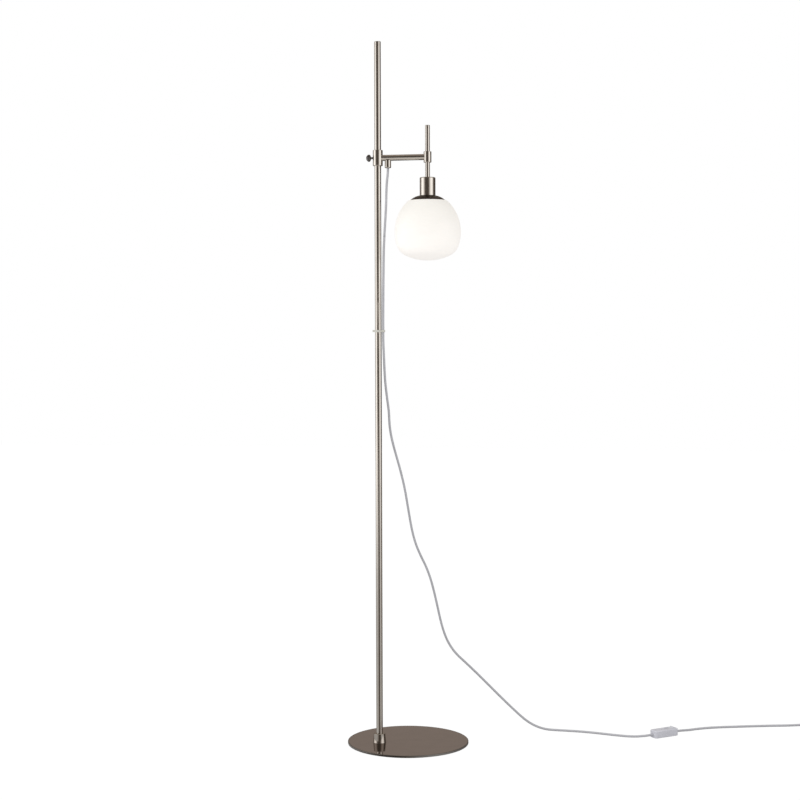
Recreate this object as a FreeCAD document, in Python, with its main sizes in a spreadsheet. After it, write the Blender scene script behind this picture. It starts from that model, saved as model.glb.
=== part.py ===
"""Globe floor lamp: a round flat foot, a slim two-piece pole and an arm that slides and swings on it.

The arm's clamp is locked by a thumb screw. A thin rod hangs at the arm's far end and carries an inverted
cup with a small lampholder, a domed cap and a blown opal globe. The lead leaves a gland under the arm, is
held to the pole by a snap-on clip, falls in loose waves to the floor, passes a rocker switch and ends in a
flat two-pin plug beside a neat coil.

Frame, in millimetres: origin at the centre of the foot's underside, +Z up, +X along the arm.
"""
import FreeCAD, Part
import math
import os
import Sketcher
from FreeCAD import Placement, Rotation, Vector

# name, value in mm (or degrees, or a count), what it is
SIZES = (
    ("total_height", 1500.0, "floor to the top of the pole"),
    ("foot_dia", 260.0, "round foot"),
    ("foot_thick", 4.5, "steel plate of the foot"),
    ("foot_edge", 0.5, "chamfer round the foot's two edges"),
    ("felt_thick", 1.0, "foam sheet under the foot"),
    ("felt_margin", 4.0, "foam sheet stays this far inside the foot's edge"),
    ("pole_back", 58.2, "pole axis behind the foot's centre, along the arm"),
    ("pole_side", 24.1, "pole axis beside the foot's centre"),
    ("pole_dia", 14.0, "pole tube"),
    ("pole_wall", 1.2, "pole tube's wall"),
    ("pole_joint", 750.0, "height of the joint between the pole's two tubes"),
    ("pole_cap_tall", 6.3, "visible height of the pole's end cap"),
    ("plug_length", 26.0, "length of each plug inside the pole"),
    ("plug_screw", 8.0, "screw threads in the pole's plugs"),
    ("plug_screw_reach", 18.0, "how far a screw enters a plug"),
    ("collar_low_dia", 28.4, "foot collar at the foot"),
    ("collar_top_dia", 24.6, "foot collar at its top"),
    ("collar_tall", 19.3, "foot collar's height"),
    ("fit", 0.05, "radial gap of pieces that are pressed or screwed together"),
    ("slip", 0.05, "radial gap of pieces that turn or slide on each other"),
    ("arm_height", 1255.0, "arm's axis above the floor"),
    ("arm_reach", 106.8, "pole axis to lamp rod axis"),
    ("arm_dia", 12.7, "arm tube"),
    ("arm_wall", 1.2, "arm tube's wall"),
    ("clamp_dia", 21.0, "clamp on the pole"),
    ("clamp_tall", 33.0, "clamp's height"),
    ("liner_wall", 0.9, "nylon liner between clamp and pole"),
    ("liner_slit", 2.0, "slit along the liner"),
    ("edge_break", 0.6, "small chamfers on turned pieces"),
    ("thumb_shank_dia", 4.6, "thumb screw's shank"),
    ("thumb_thread_dia", 4.0, "thumb screw's thread"),
    ("thumb_neck", 4.9, "clamp to the back of the thumb screw's head"),
    ("thumb_head_long", 9.2, "length of the thumb screw's head"),
    ("thumb_head_dia", 15.0, "thumb screw's head"),
    ("sleeve_dia", 16.4, "sleeve at the arm's far end"),
    ("sleeve_tall", 23.0, "sleeve's height"),
    ("set_screw_dia", 4.0, "set screw that holds the rod in the sleeve"),
    ("rod_dia", 10.0, "lamp rod, a thin tube"),
    ("rod_wall", 1.0, "lamp rod's wall"),
    ("rod_top", 1321.7, "top of the rod's end cap"),
    ("rod_cap_tall", 2.0, "visible height of the rod's end cap"),
    ("lead_hole", 7.0, "holes that pass the lead from arm to rod"),
    ("lead_dia", 3.0, "inner lead"),
    ("lead_bend", 4.0, "bend radius of the inner lead's middle line"),
    ("cup_dia", 33.2, "inverted cup over the lampholder"),
    ("cup_tall", 38.2, "cup's height"),
    ("cup_top", 1212.0, "top of the cup"),
    ("cup_wall", 1.2, "cup's wall"),
    ("cup_edge", 1.6, "rounding of the cup's top edge"),
    ("nut_across", 14.0, "rod's hexagon nut, across its flats"),
    ("nut_tall", 3.5, "rod's hexagon nut, height"),
    ("cap_dia", 75.0, "domed cap over the globe"),
    ("cap_drop", 10.1, "how far the cap's rim lies below its top"),
    ("cap_wall", 1.0, "cap's sheet"),
    ("cap_arc", 40.0, "radius of the cap's domed side"),
    ("holder_dia", 27.6, "lampholder's body"),
    ("holder_top", 1205.0, "top of the lampholder"),
    ("holder_tall", 46.0, "lampholder's height"),
    ("holder_bore", 18.0, "lampholder's hollow"),
    ("shell_bore", 14.1, "threaded metal shell that takes the bulb"),
    ("shell_wall", 0.5, "shell's sheet"),
    ("shell_tall", 26.0, "shell's height"),
    ("ring_dia", 33.0, "ring nut that holds the cap to the lampholder"),
    ("ring_tall", 4.5, "ring nut's height"),
    ("ring_grip_dia", 2.6, "finger grooves round the ring nut"),
    ("globe_dia", 140.0, "globe at its widest"),
    ("globe_wide_z", 1097.0, "height of the globe's widest line"),
    ("globe_drop", 59.8, "widest line down to the globe's lowest point"),
    ("globe_shoulder_z", 1163.2, "flat shoulder round the globe's neck"),
    ("globe_side_arc", 90.0, "radius of the globe's side"),
    ("globe_corner_arc", 35.0, "radius of the globe's lower corner"),
    ("globe_low_arc", 110.0, "radius of the globe's underside"),
    ("glass_wall", 2.6, "globe's glass"),
    ("neck_dia", 52.0, "globe's screw neck"),
    ("neck_tall", 5.4, "height of the neck above the shoulder"),
    ("carrier_wall", 1.2, "threaded skirt of the carrier round the neck"),
    ("carrier_sheet", 0.8, "sheet of the carrier under the cap"),
    ("bulb_base_dia", 14.0, "bulb's screw base"),
    ("bulb_dia", 45.0, "bulb's round glass"),
    ("bulb_waist_dia", 26.0, "bulb where its glass leaves the base"),
    ("bulb_low_z", 1110.0, "lowest point of the bulb"),
    ("gland_off", 21.8, "pole axis to gland axis"),
    ("gland_dia", 13.4, "gland under the arm"),
    ("gland_low_z", 1233.6, "gland's lower face"),
    ("gland_round", 1.4, "rounding of the gland's lower edge"),
    ("cord_dia", 5.0, "lead outside the lamp"),
    ("clip_z", 888.5, "middle of the pole clip"),
    ("clip_tall", 4.4, "pole clip's height"),
    ("clip_wall", 1.5, "pole clip's wall"),
    ("clip_cord_off", 10.5, "pole axis to the lead in the clip"),
    ("clip_ear", 11.4, "pole axis to the tips of the clip's ears"),
    ("switch_x", 543.6, "rocker switch's middle"),
    ("switch_y", 149.0, "rocker switch's middle"),
    ("switch_turn", 38.5, "rocker switch's long axis from +X"),
    ("switch_long", 62.0, "rocker switch's length"),
    ("switch_wide", 23.0, "rocker switch's width"),
    ("switch_low_tall", 6.8, "lower shell's height, which is the lead's middle line too"),
    ("switch_top_tall", 9.4, "upper shell's height"),
    ("switch_corner", 5.0, "rounding of the shells' corners seen from above"),
    ("switch_wall", 1.8, "shells' wall"),
    ("switch_end", 6.6, "solid end of a shell that grips the lead"),
    ("switch_low_round", 1.0, "rounding of the lower shell's edge"),
    ("switch_top_round", 2.2, "rounding of the upper shell's edge"),
    ("rocker_off", 13.4, "rocker's axis from the switch's middle"),
    ("rocker_long", 20.2, "rocker's length"),
    ("rocker_wide", 12.0, "rocker's width"),
    ("rocker_tilt", 7.0, "rocker's tilt either side of level"),
    ("rocker_gap", 0.8, "gap round the rocker"),
    ("rocker_pin_dia", 2.0, "pin that the rocker turns on"),
    ("rocker_pin_low", 4.2, "pin's middle below the housing's top"),
    ("rocker_boss", 4.8, "rocker's boss round its pin, each way"),
    ("rocker_proud", 1.6, "level rocker's ends above the housing's top"),
    ("screw_head_dia", 5.0, "switch screws' heads"),
    ("screw_dia", 2.6, "switch screws' threads"),
    ("coil_x", 900.8, "put-away coil's middle"),
    ("coil_y", 267.3, "put-away coil's middle"),
    ("coil_mid_radius", 27.5, "radius at the middle of the coil's turns"),
    ("coil_pitch", 5.6, "distance between neighbouring turns and layers"),
    ("coil_low_z", 3.5, "middle line of the lower layer"),
    ("tie_wide", 5.0, "coil tie's width"),
    ("tie_thick", 0.7, "coil tie's thickness"),
    ("plug_wide", 35.3, "flat plug's width at its face"),
    ("plug_thick", 13.7, "flat plug's thickness"),
    ("plug_long", 35.0, "flat plug's body"),
    ("plug_tail", 22.0, "plug's tapered strain relief"),
    ("pin_dia", 4.0, "plug's pins"),
    ("pin_long", 19.0, "how far the plug's pins stand out"),
    ("pin_sleeve_dia", 3.6, "insulating sleeve on each pin"),
    ("pin_sleeve_long", 10.0, "how far the sleeve reaches from the plug's face"),
    ("pin_root_dia", 3.2, "part of each pin inside the plug"),
    ("pin_root_long", 8.0, "part of each pin inside the plug"),
    ("pin_spacing", 18.6, "plug's pins, centre to centre"),
)

doc = FreeCAD.newDocument("globe_floor_lamp")
sheet = doc.addObject("Spreadsheet::Sheet", "Sizes")


class Size:
    """A size that carries its number and the formula on the sheet that gives it."""

    def __init__(self, number, formula):
        self.number = float(number)
        self.formula = formula

    def __add__(self, other):
        return Size(self.number + as_size(other).number, f"({self.formula} + {as_size(other).formula})")

    def __sub__(self, other):
        return Size(self.number - as_size(other).number, f"({self.formula} - {as_size(other).formula})")

    def __mul__(self, other):
        return Size(self.number * as_size(other).number, f"({self.formula} * {as_size(other).formula})")

    def __truediv__(self, other):
        return Size(self.number / as_size(other).number, f"({self.formula} / {as_size(other).formula})")

    def __neg__(self):
        return Size(-self.number, f"(0 - {self.formula})")


def as_size(value):
    """Plain numbers join formulas too."""
    return value if isinstance(value, Size) else Size(value, repr(float(value)))


class Given:
    """The driving sizes, one attribute each."""


given = Given()
for line, (alias, value, note) in enumerate(SIZES, 1):
    sheet.set(f"A{line}", alias)
    sheet.set(f"B{line}", str(value))
    sheet.set(f"C{line}", note)
    sheet.setAlias(f"B{line}", alias)
    setattr(given, alias, Size(value, f"Sizes.{alias}"))
doc.recompute()

ZERO = Size(0, "0")

# sizes worked out from the driving ones
foot_top = given.felt_thick + given.foot_thick
pole_x = -given.pole_back
pole_y = -given.pole_side
pole_r = given.pole_dia / 2
pole_bore_r = pole_r - given.pole_wall
plug_r = pole_bore_r - given.fit
tube_top = given.total_height - given.pole_cap_tall
liner_r = pole_r + given.slip + given.liner_wall
clamp_r = given.clamp_dia / 2
clamp_bore_r = liner_r + given.slip
arm_r = given.arm_dia / 2
arm_bore_r = arm_r - given.arm_wall
sleeve_r = given.sleeve_dia / 2
rod_r = given.rod_dia / 2
rod_bore_r = rod_r - given.rod_wall
rod_x = pole_x + given.arm_reach
rod_low = given.cup_top - given.cup_wall - given.nut_tall - 9
rod_tube_top = given.rod_top - given.rod_cap_tall
cup_r = given.cup_dia / 2
cup_low = given.cup_top - given.cup_tall
holder_r = given.holder_dia / 2
holder_low = given.holder_top - given.holder_tall
carrier_z = cup_low - given.cap_wall - given.carrier_sheet - 0.1
ring_top = carrier_z - given.fit
neck_r = given.neck_dia / 2
neck_top = given.globe_shoulder_z + given.neck_tall
cord_r = given.cord_dia / 2
gland_x = pole_x + given.gland_off
gland_r = given.gland_dia / 2

sub_parts = []


def keep(piece):
    """Lists a finished sub-part for export."""
    sub_parts.append(piece)
    return piece


def place(piece, x=ZERO, y=ZERO, z=ZERO):
    """Binds a piece's place to the sheet."""
    for axis, value in (("x", x), ("y", y), ("z", z)):
        if value is not ZERO:
            piece.setExpression(f".Placement.Base.{axis}", value.formula)
    return piece


def at_pole(piece, z=ZERO):
    """Puts a piece's own axis on the pole's axis."""
    return place(piece, pole_x, pole_y, z)


def at_rod(piece, z=ZERO):
    """Puts a piece's own axis on the lamp rod's axis."""
    return place(piece, rod_x, pole_y, z)


def new_body(label):
    """An empty body whose label names its file."""
    body = doc.addObject("PartDesign::Body", label)
    body.Label = label
    return body


def new_sketch(body, role, name, lift=ZERO):
    """A sketch on one of the body's own origin planes, lifted along the plane's normal."""
    plane = next(item for item in body.Origin.OriginFeatures if item.Role == role)
    sketch = body.newObject("Sketcher::SketchObject", f"{body.Label}_{name}")
    sketch.AttachmentSupport = [(plane, "")]
    sketch.MapMode = "FlatFace"
    if lift is not ZERO:
        sketch.setExpression(".AttachmentOffset.Base.z", lift.formula)
    return sketch


def pin_coordinate(sketch, kind, element, corner, value):
    """Holds one coordinate of a sketch point at a size, or on the sketch's axis where it is zero."""
    if value is ZERO:
        line = -2 if kind == "DistanceX" else -1
        sketch.addConstraint(Sketcher.Constraint("PointOnObject", element, corner, line))
        return
    if value.number > 0:
        index = sketch.addConstraint(Sketcher.Constraint(kind, -1, 1, element, corner, value.number))
        sketch.setExpression(f"Constraints[{index}]", value.formula)
    else:
        index = sketch.addConstraint(Sketcher.Constraint(kind, element, corner, -1, 1, -value.number))
        sketch.setExpression(f"Constraints[{index}]", (-value).formula)


def pin_point(sketch, element, corner, x, y):
    """Holds a sketch point at two sizes."""
    pin_coordinate(sketch, "DistanceX", element, corner, x)
    pin_coordinate(sketch, "DistanceY", element, corner, y)


def arc_between(start, end, radius, side):
    """The arc of a radius from start to end; side 1 bulges to the left of the way from start to end."""
    half = (end - start) * 0.5
    rise = math.sqrt(max(radius * radius - half.Length * half.Length, 0.0))
    left = Vector(-half.y, half.x, 0).normalize()
    centre = start + half - left * (rise * side)
    middle = centre + left * (radius * side)
    return Part.Arc(start, middle, end)


def outline(sketch, corners):
    """Draws a closed outline; a corner is (x, y), or (x, y, radius, side) where an arc leaves it."""
    points = [Vector(corner[0].number, corner[1].number, 0) for corner in corners]
    first = sketch.GeometryCount
    for index, corner in enumerate(corners):
        start, end = points[index], points[(index + 1) % len(points)]
        if len(corner) == 2:
            sketch.addGeometry(Part.LineSegment(start, end), False)
        else:
            sketch.addGeometry(arc_between(start, end, corner[2].number, corner[3]), False)
    clockwise = [len(corner) == 4 and corner[3] == 1 for corner in corners]
    for index, corner in enumerate(corners):
        element = first + index
        after = (index + 1) % len(corners)
        follower = first + after
        own_end = 1 if clockwise[index] else 2
        next_start = 2 if clockwise[after] else 1
        sketch.addConstraint(Sketcher.Constraint("Coincident", element, own_end, follower, next_start))
        pin_point(sketch, element, 3 - own_end, corner[0], corner[1])
    for index, corner in enumerate(corners):
        if len(corner) == 4:
            row = sketch.addConstraint(Sketcher.Constraint("Radius", first + index, corner[2].number))
            sketch.setExpression(f"Constraints[{row}]", corner[2].formula)


def circle(sketch, radius, x=ZERO, y=ZERO):
    """Draws a circle of a bound radius about a bound point."""
    element = sketch.addGeometry(
        Part.Circle(Vector(x.number, y.number, 0), Vector(0, 0, 1), radius.number), False
    )
    pin_point(sketch, element, 3, x, y)
    row = sketch.addConstraint(Sketcher.Constraint("Radius", element, radius.number))
    sketch.setExpression(f"Constraints[{row}]", radius.formula)


def box_outline(sketch, low_x, low_y, high_x, high_y):
    """Draws an upright rectangle between two bound corners."""
    outline(sketch, [(low_x, low_y), (high_x, low_y), (high_x, high_y), (low_x, high_y)])


def feature(body, kind, name, sketch):
    """Adds a feature that works on a sketch."""
    made = body.newObject(f"PartDesign::{kind}", f"{body.Label}_{name}")
    made.Profile = sketch
    return made


def pad(body, name, sketch, length, symmetric=False):
    """Pads a sketch along its normal."""
    made = feature(body, "Pad", name, sketch)
    made.SideType = "Symmetric" if symmetric else "One side"
    made.setExpression("Length", length.formula)
    return made


def cut(body, name, sketch, length=None, symmetric=False, along_normal=False):
    """Pockets a sketch, through everything if no length is given, and checks that it removed something."""
    doc.recompute()
    before = body.Shape.Volume
    made = feature(body, "Pocket", name, sketch)
    made.SideType = "Symmetric" if symmetric else "One side"
    made.Reversed = along_normal
    if length is None:
        made.Type = "ThroughAll"
    else:
        made.setExpression("Length", length.formula)
    doc.recompute()
    if body.Shape.Volume > before - 0.01:
        raise RuntimeError(f"{body.Label}: {name} removed nothing")
    return made


def turned(label, corners, axis="V_Axis"):
    """A turned piece: half a section on the XZ plane, spun about the sketch's upright or level axis."""
    body = new_body(label)
    sketch = new_sketch(body, "XZ_Plane", "section")
    outline(sketch, corners)
    spin = feature(body, "Revolution", "spin", sketch)
    spin.ReferenceAxis = (sketch, [axis])
    spin.Angle = 360
    return keep(body)


def tube(label, outer_r, bore_r, low, high):
    """A plain tube along Z."""
    return turned(label, [(bore_r, low), (outer_r, low), (outer_r, high), (bore_r, high)])


# ---------------------------------------------------------------- foot and pole


def make_foot():
    """Round steel plate with broken edges and a countersunk hole under the pole."""
    head_r = given.plug_screw * 0.94
    foot = new_body("base_disc")
    plate = new_sketch(foot, "XY_Plane", "plate", given.felt_thick)
    circle(plate, given.foot_dia / 2)
    pad(foot, "plate_pad", plate, given.foot_thick)
    hole = new_sketch(foot, "XY_Plane", "hole")
    circle(hole, given.plug_screw / 2 + given.fit, pole_x, pole_y)
    cut(foot, "hole_cut", hole, symmetric=True)
    sink = new_sketch(foot, "XZ_Plane", "sink", given.pole_side)
    outline(
        sink,
        [
            (pole_x, given.felt_thick - 0.5),
            (pole_x + head_r + 0.65, given.felt_thick - 0.5),
            (pole_x + given.plug_screw / 2, given.felt_thick + head_r + 0.15 - given.plug_screw / 2),
            (pole_x, given.felt_thick + head_r + 0.15 - given.plug_screw / 2),
        ],
    )
    doc.recompute()
    before = foot.Shape.Volume
    groove = feature(foot, "Groove", "sink_cut", sink)
    line = sink.addGeometry(
        Part.LineSegment(Vector(pole_x.number, -5, 0), Vector(pole_x.number, 20, 0)), True
    )
    sink.addConstraint(Sketcher.Constraint("Vertical", line))
    pin_coordinate(sink, "DistanceX", line, 1, pole_x)
    groove.ReferenceAxis = (sink, ["Axis0"])
    groove.Angle = 360
    doc.recompute()
    if foot.Shape.Volume > before - 1:
        raise RuntimeError("base_disc: the countersink removed nothing")
    rims = [
        f"Edge{n}"
        for n, edge in enumerate(groove.Shape.Edges, 1)
        if abs(edge.Length - math.pi * given.foot_dia.number) < 0.01
    ]
    chamfer = foot.newObject("PartDesign::Chamfer", "base_disc_edges")
    chamfer.Base = (groove, rims)
    chamfer.setExpression("Size", given.foot_edge.formula)
    keep(foot)

    felt = new_body("base_felt")
    sheet_outline = new_sketch(felt, "XY_Plane", "sheet")
    circle(sheet_outline, given.foot_dia / 2 - given.felt_margin)
    circle(sheet_outline, given.plug_screw * 1.5, pole_x, pole_y)
    pad(felt, "sheet_pad", sheet_outline, given.felt_thick - 0.02)
    keep(felt)

    head_low = given.felt_thick + 0.1
    cone_top = head_low + head_r - given.plug_screw / 2
    shank_top = foot_top + given.plug_screw_reach - 2
    screw = turned(
        "base_screw",
        [
            (ZERO, head_low),
            (head_r, head_low),
            (given.plug_screw / 2, cone_top),
            (given.plug_screw / 2, shank_top - 0.6),
            (given.plug_screw / 2 - 0.6, shank_top),
            (ZERO, shank_top),
        ],
    )
    socket = new_sketch(screw, "XY_Plane", "socket", head_low)
    hexagon(socket, given.plug_screw * 0.625)
    cut(screw, "socket_cut", socket, given.plug_screw * 0.4, along_normal=True)
    at_pole(screw)


def hexagon(sketch, across):
    """A regular hexagon about the sketch's origin, given across its flats."""
    reach = across * (1 / math.sqrt(3))
    half = reach / 2
    flat = across / 2
    upper = [(reach, ZERO), (half, flat), (-half, flat)]
    lower = [(-reach, ZERO), (-half, -flat), (half, -flat)]
    outline(sketch, upper + lower)


def make_pole():
    """Two tubes that meet flush half way up, joined inside by a socket and a stud."""
    collar_bore = pole_r + given.fit
    low_r = given.collar_low_dia / 2
    top_r = given.collar_top_dia / 2
    top = foot_top + given.collar_tall
    collar = turned(
        "base_collar",
        [
            (collar_bore, foot_top),
            (low_r, foot_top),
            (top_r, top - given.edge_break),
            (top_r - given.edge_break, top),
            (collar_bore, top),
        ],
    )
    at_pole(collar)
    at_pole(tube("pole_lower", pole_r, pole_bore_r, foot_top, given.pole_joint))
    at_pole(tube("pole_upper", pole_r, pole_bore_r, given.pole_joint + 0.02, tube_top))

    thread_r = given.plug_screw / 2
    foot_plug = turned(
        "pole_foot_plug",
        [
            (thread_r + given.fit, foot_top),
            (plug_r, foot_top),
            (plug_r, foot_top + given.plug_length),
            (ZERO, foot_top + given.plug_length),
            (ZERO, foot_top + given.plug_screw_reach),
            (thread_r + given.fit, foot_top + given.plug_screw_reach),
        ],
    )
    at_pole(foot_plug)
    socket_low = given.pole_joint - given.plug_length
    stud_low = given.pole_joint - given.plug_screw_reach
    socket = turned(
        "pole_socket",
        [
            (ZERO, socket_low),
            (plug_r, socket_low),
            (plug_r, given.pole_joint - 0.3),
            (thread_r + given.fit, given.pole_joint - 0.3),
            (thread_r + given.fit, stud_low - 2),
            (ZERO, stud_low - 2),
        ],
    )
    at_pole(socket)
    stud = turned(
        "pole_stud",
        [
            (ZERO, stud_low),
            (thread_r - 0.6, stud_low),
            (thread_r, stud_low + 0.6),
            (thread_r, given.pole_joint + 0.3),
            (plug_r, given.pole_joint + 0.3),
            (plug_r, given.pole_joint + given.plug_length),
            (ZERO, given.pole_joint + given.plug_length),
        ],
    )
    at_pole(stud)
    cap_spigot = tube_top - 9
    cap = turned(
        "pole_cap",
        [
            (ZERO, cap_spigot),
            (plug_r, cap_spigot),
            (plug_r, tube_top + 0.02),
            (pole_r, tube_top + 0.02),
            (pole_r, given.total_height - given.edge_break),
            (pole_r - given.edge_break, given.total_height),
            (ZERO, given.total_height),
        ],
    )
    at_pole(cap)


# ---------------------------------------------------------------- clamp, arm and sleeve


def make_clamp():
    """A nylon liner that slides on the pole, and the metal clamp that turns on it."""
    half = given.clamp_tall / 2
    liner = tube("clamp_liner", liner_r, pole_r + given.slip, -half + 0.4, half - 0.4)
    slit = new_sketch(liner, "YZ_Plane", "slit")
    box_outline(slit, -given.liner_slit / 2, -half, given.liner_slit / 2, half)
    cut(liner, "slit_cut", slit, liner_r * 2, along_normal=True)
    at_pole(liner, given.arm_height)

    chamfer = given.edge_break
    clamp = turned(
        "arm_clamp",
        [
            (clamp_bore_r, -half),
            (clamp_r - chamfer, -half),
            (clamp_r, -half + chamfer),
            (clamp_r, half - chamfer),
            (clamp_r - chamfer, half),
            (clamp_bore_r, half),
        ],
    )
    thread = new_sketch(clamp, "YZ_Plane", "thread")
    circle(thread, given.thumb_thread_dia / 2 + given.slip)
    cut(clamp, "thread_cut", thread, clamp_r * 2)
    at_pole(clamp, given.arm_height)


def make_thumb_screw():
    """Knob with a domed front and a flared back, on a thin shank; its tip bears on the liner."""
    thread_r = given.thumb_thread_dia / 2
    shank_r = given.thumb_shank_dia / 2
    head_r = given.thumb_head_dia / 2
    tip = -liner_r - 0.15
    seat = -clamp_r - 0.2
    back = -clamp_r - given.thumb_neck
    front = back - given.thumb_head_long
    rim = back - given.thumb_head_long * 0.42
    screw = turned(
        "thumb_screw",
        [
            (front, ZERO),
            (front, head_r * 0.42, head_r * 0.85, 1),
            (rim, head_r),
            (rim + given.thumb_head_long * 0.14, head_r, head_r * 0.7, 1),
            (back, head_r * 0.42),
            (back, shank_r),
            (seat, shank_r),
            (seat, thread_r),
            (tip - 0.5, thread_r),
            (tip, thread_r - 0.5),
            (tip, ZERO),
        ],
        axis="H_Axis",
    )
    at_pole(screw, given.arm_height)


def make_arm():
    """Thin tube, coped to the clamp at one end and to the sleeve at the other."""
    arm = new_body("arm_tube")
    ring = new_sketch(arm, "YZ_Plane", "ring")
    circle(ring, arm_r)
    circle(ring, arm_bore_r)
    pad(arm, "ring_pad", ring, given.arm_reach)
    near = new_sketch(arm, "XY_Plane", "near_cope")
    circle(near, clamp_r + 0.03)
    cut(arm, "near_cope_cut", near, symmetric=True)
    far = new_sketch(arm, "XY_Plane", "far_cope")
    circle(far, sleeve_r + 0.03, given.arm_reach)
    cut(arm, "far_cope_cut", far, symmetric=True)
    entry = new_sketch(arm, "XY_Plane", "entry")
    circle(entry, given.lead_hole / 2, given.gland_off)
    cut(arm, "entry_cut", entry, arm_r * 2)
    keep(at_pole(arm, given.arm_height))


def make_sleeve():
    """Turned sleeve that holds the lamp rod, with a cross hole for the lead and a set screw at the back."""
    half = given.sleeve_tall / 2
    chamfer = given.edge_break
    bore = rod_r + given.fit
    sleeve = turned(
        "arm_sleeve",
        [
            (bore, -half),
            (sleeve_r - chamfer, -half),
            (sleeve_r, -half + chamfer),
            (sleeve_r, half - chamfer),
            (sleeve_r - chamfer, half),
            (bore, half),
        ],
    )
    passage = new_sketch(sleeve, "YZ_Plane", "passage")
    circle(passage, given.lead_hole / 2)
    cut(sleeve, "passage_cut", passage, sleeve_r * 2)
    thread = new_sketch(sleeve, "XZ_Plane", "thread")
    circle(thread, given.set_screw_dia / 2 + given.fit)
    cut(sleeve, "thread_cut", thread, sleeve_r * 2)
    at_rod(sleeve, given.arm_height)

    set_screw = new_body("sleeve_screw")
    slug = new_sketch(set_screw, "XZ_Plane", "slug", -(rod_r + 0.1))
    circle(slug, given.set_screw_dia / 2)
    slug_pad = pad(set_screw, "slug_pad", slug, sleeve_r - rod_r - 0.3)
    slug_pad.Reversed = True
    key = new_sketch(set_screw, "XZ_Plane", "key", -(sleeve_r - 0.2))
    hexagon(key, given.set_screw_dia / 2)
    cut(set_screw, "key_cut", key, given.set_screw_dia / 2 - 0.2, along_normal=True)
    keep(at_rod(set_screw, given.arm_height))


def make_gland():
    """Turned gland coped to the arm's underside, and the rubber bush that grips the lead inside it."""
    cord_hole = cord_r + 0.1
    rounding = given.gland_round
    gland = turned(
        "cord_gland",
        [
            (cord_hole + 1.5, given.gland_low_z),
            (gland_r - rounding, given.gland_low_z, rounding, -1),
            (gland_r, given.gland_low_z + rounding),
            (gland_r, given.arm_height - arm_r + 1.1),
            (cord_hole + 1.5, given.arm_height - arm_r + 1.1),
        ],
    )
    cope = new_sketch(gland, "YZ_Plane", "cope")
    circle(cope, arm_r + 0.03, ZERO, given.arm_height)
    cut(gland, "cope_cut", cope, symmetric=True)
    place(gland, gland_x, pole_y)
    bush_top = given.arm_height - arm_r - 0.5
    bush = turned(
        "gland_bush",
        [
            (cord_hole, given.gland_low_z - 0.4),
            (cord_hole + 1.2, given.gland_low_z - 0.4),
            (cord_hole + 1.45, given.gland_low_z + 1),
            (cord_hole + 1.45, bush_top),
            (cord_hole, bush_top),
        ],
    )
    place(bush, gland_x, pole_y)


# ---------------------------------------------------------------- lamp head


def make_rod():
    """Hanging rod with its end cap, and the nut that hangs the cup on its threaded foot."""
    rod = tube("lamp_rod", rod_r, rod_bore_r, rod_low, rod_tube_top)
    passage = new_sketch(rod, "YZ_Plane", "passage")
    circle(passage, given.lead_hole / 2 - 0.5, ZERO, given.arm_height)
    cut(rod, "passage_cut", passage, rod_r * 2)
    at_rod(rod)
    cap = turned(
        "rod_cap",
        [
            (ZERO, rod_tube_top - 5),
            (rod_bore_r - given.fit, rod_tube_top - 5),
            (rod_bore_r - given.fit, rod_tube_top + 0.02),
            (rod_r, rod_tube_top + 0.02),
            (rod_r, given.rod_top - given.edge_break),
            (rod_r - given.edge_break, given.rod_top),
            (ZERO, given.rod_top),
        ],
    )
    at_rod(cap)
    nut_top = given.cup_top - given.cup_wall - given.fit
    nut = new_body("rod_nut")
    flats = new_sketch(nut, "XY_Plane", "flats", nut_top - given.nut_tall)
    hexagon(flats, given.nut_across)
    circle(flats, rod_r + given.fit)
    pad(nut, "flats_pad", flats, given.nut_tall)
    keep(at_rod(nut))


def make_cup():
    """Inverted cup with a softly rounded top edge."""
    inner_r = cup_r - given.cup_wall
    cup = turned(
        "holder_cup",
        [
            (rod_r + given.fit, given.cup_top - given.cup_wall),
            (inner_r, given.cup_top - given.cup_wall),
            (inner_r, cup_low),
            (cup_r, cup_low),
            (cup_r, given.cup_top - given.cup_edge, given.cup_edge, -1),
            (cup_r - given.cup_edge, given.cup_top),
            (rod_r + given.fit, given.cup_top),
        ],
    )
    at_rod(cup)


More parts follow.
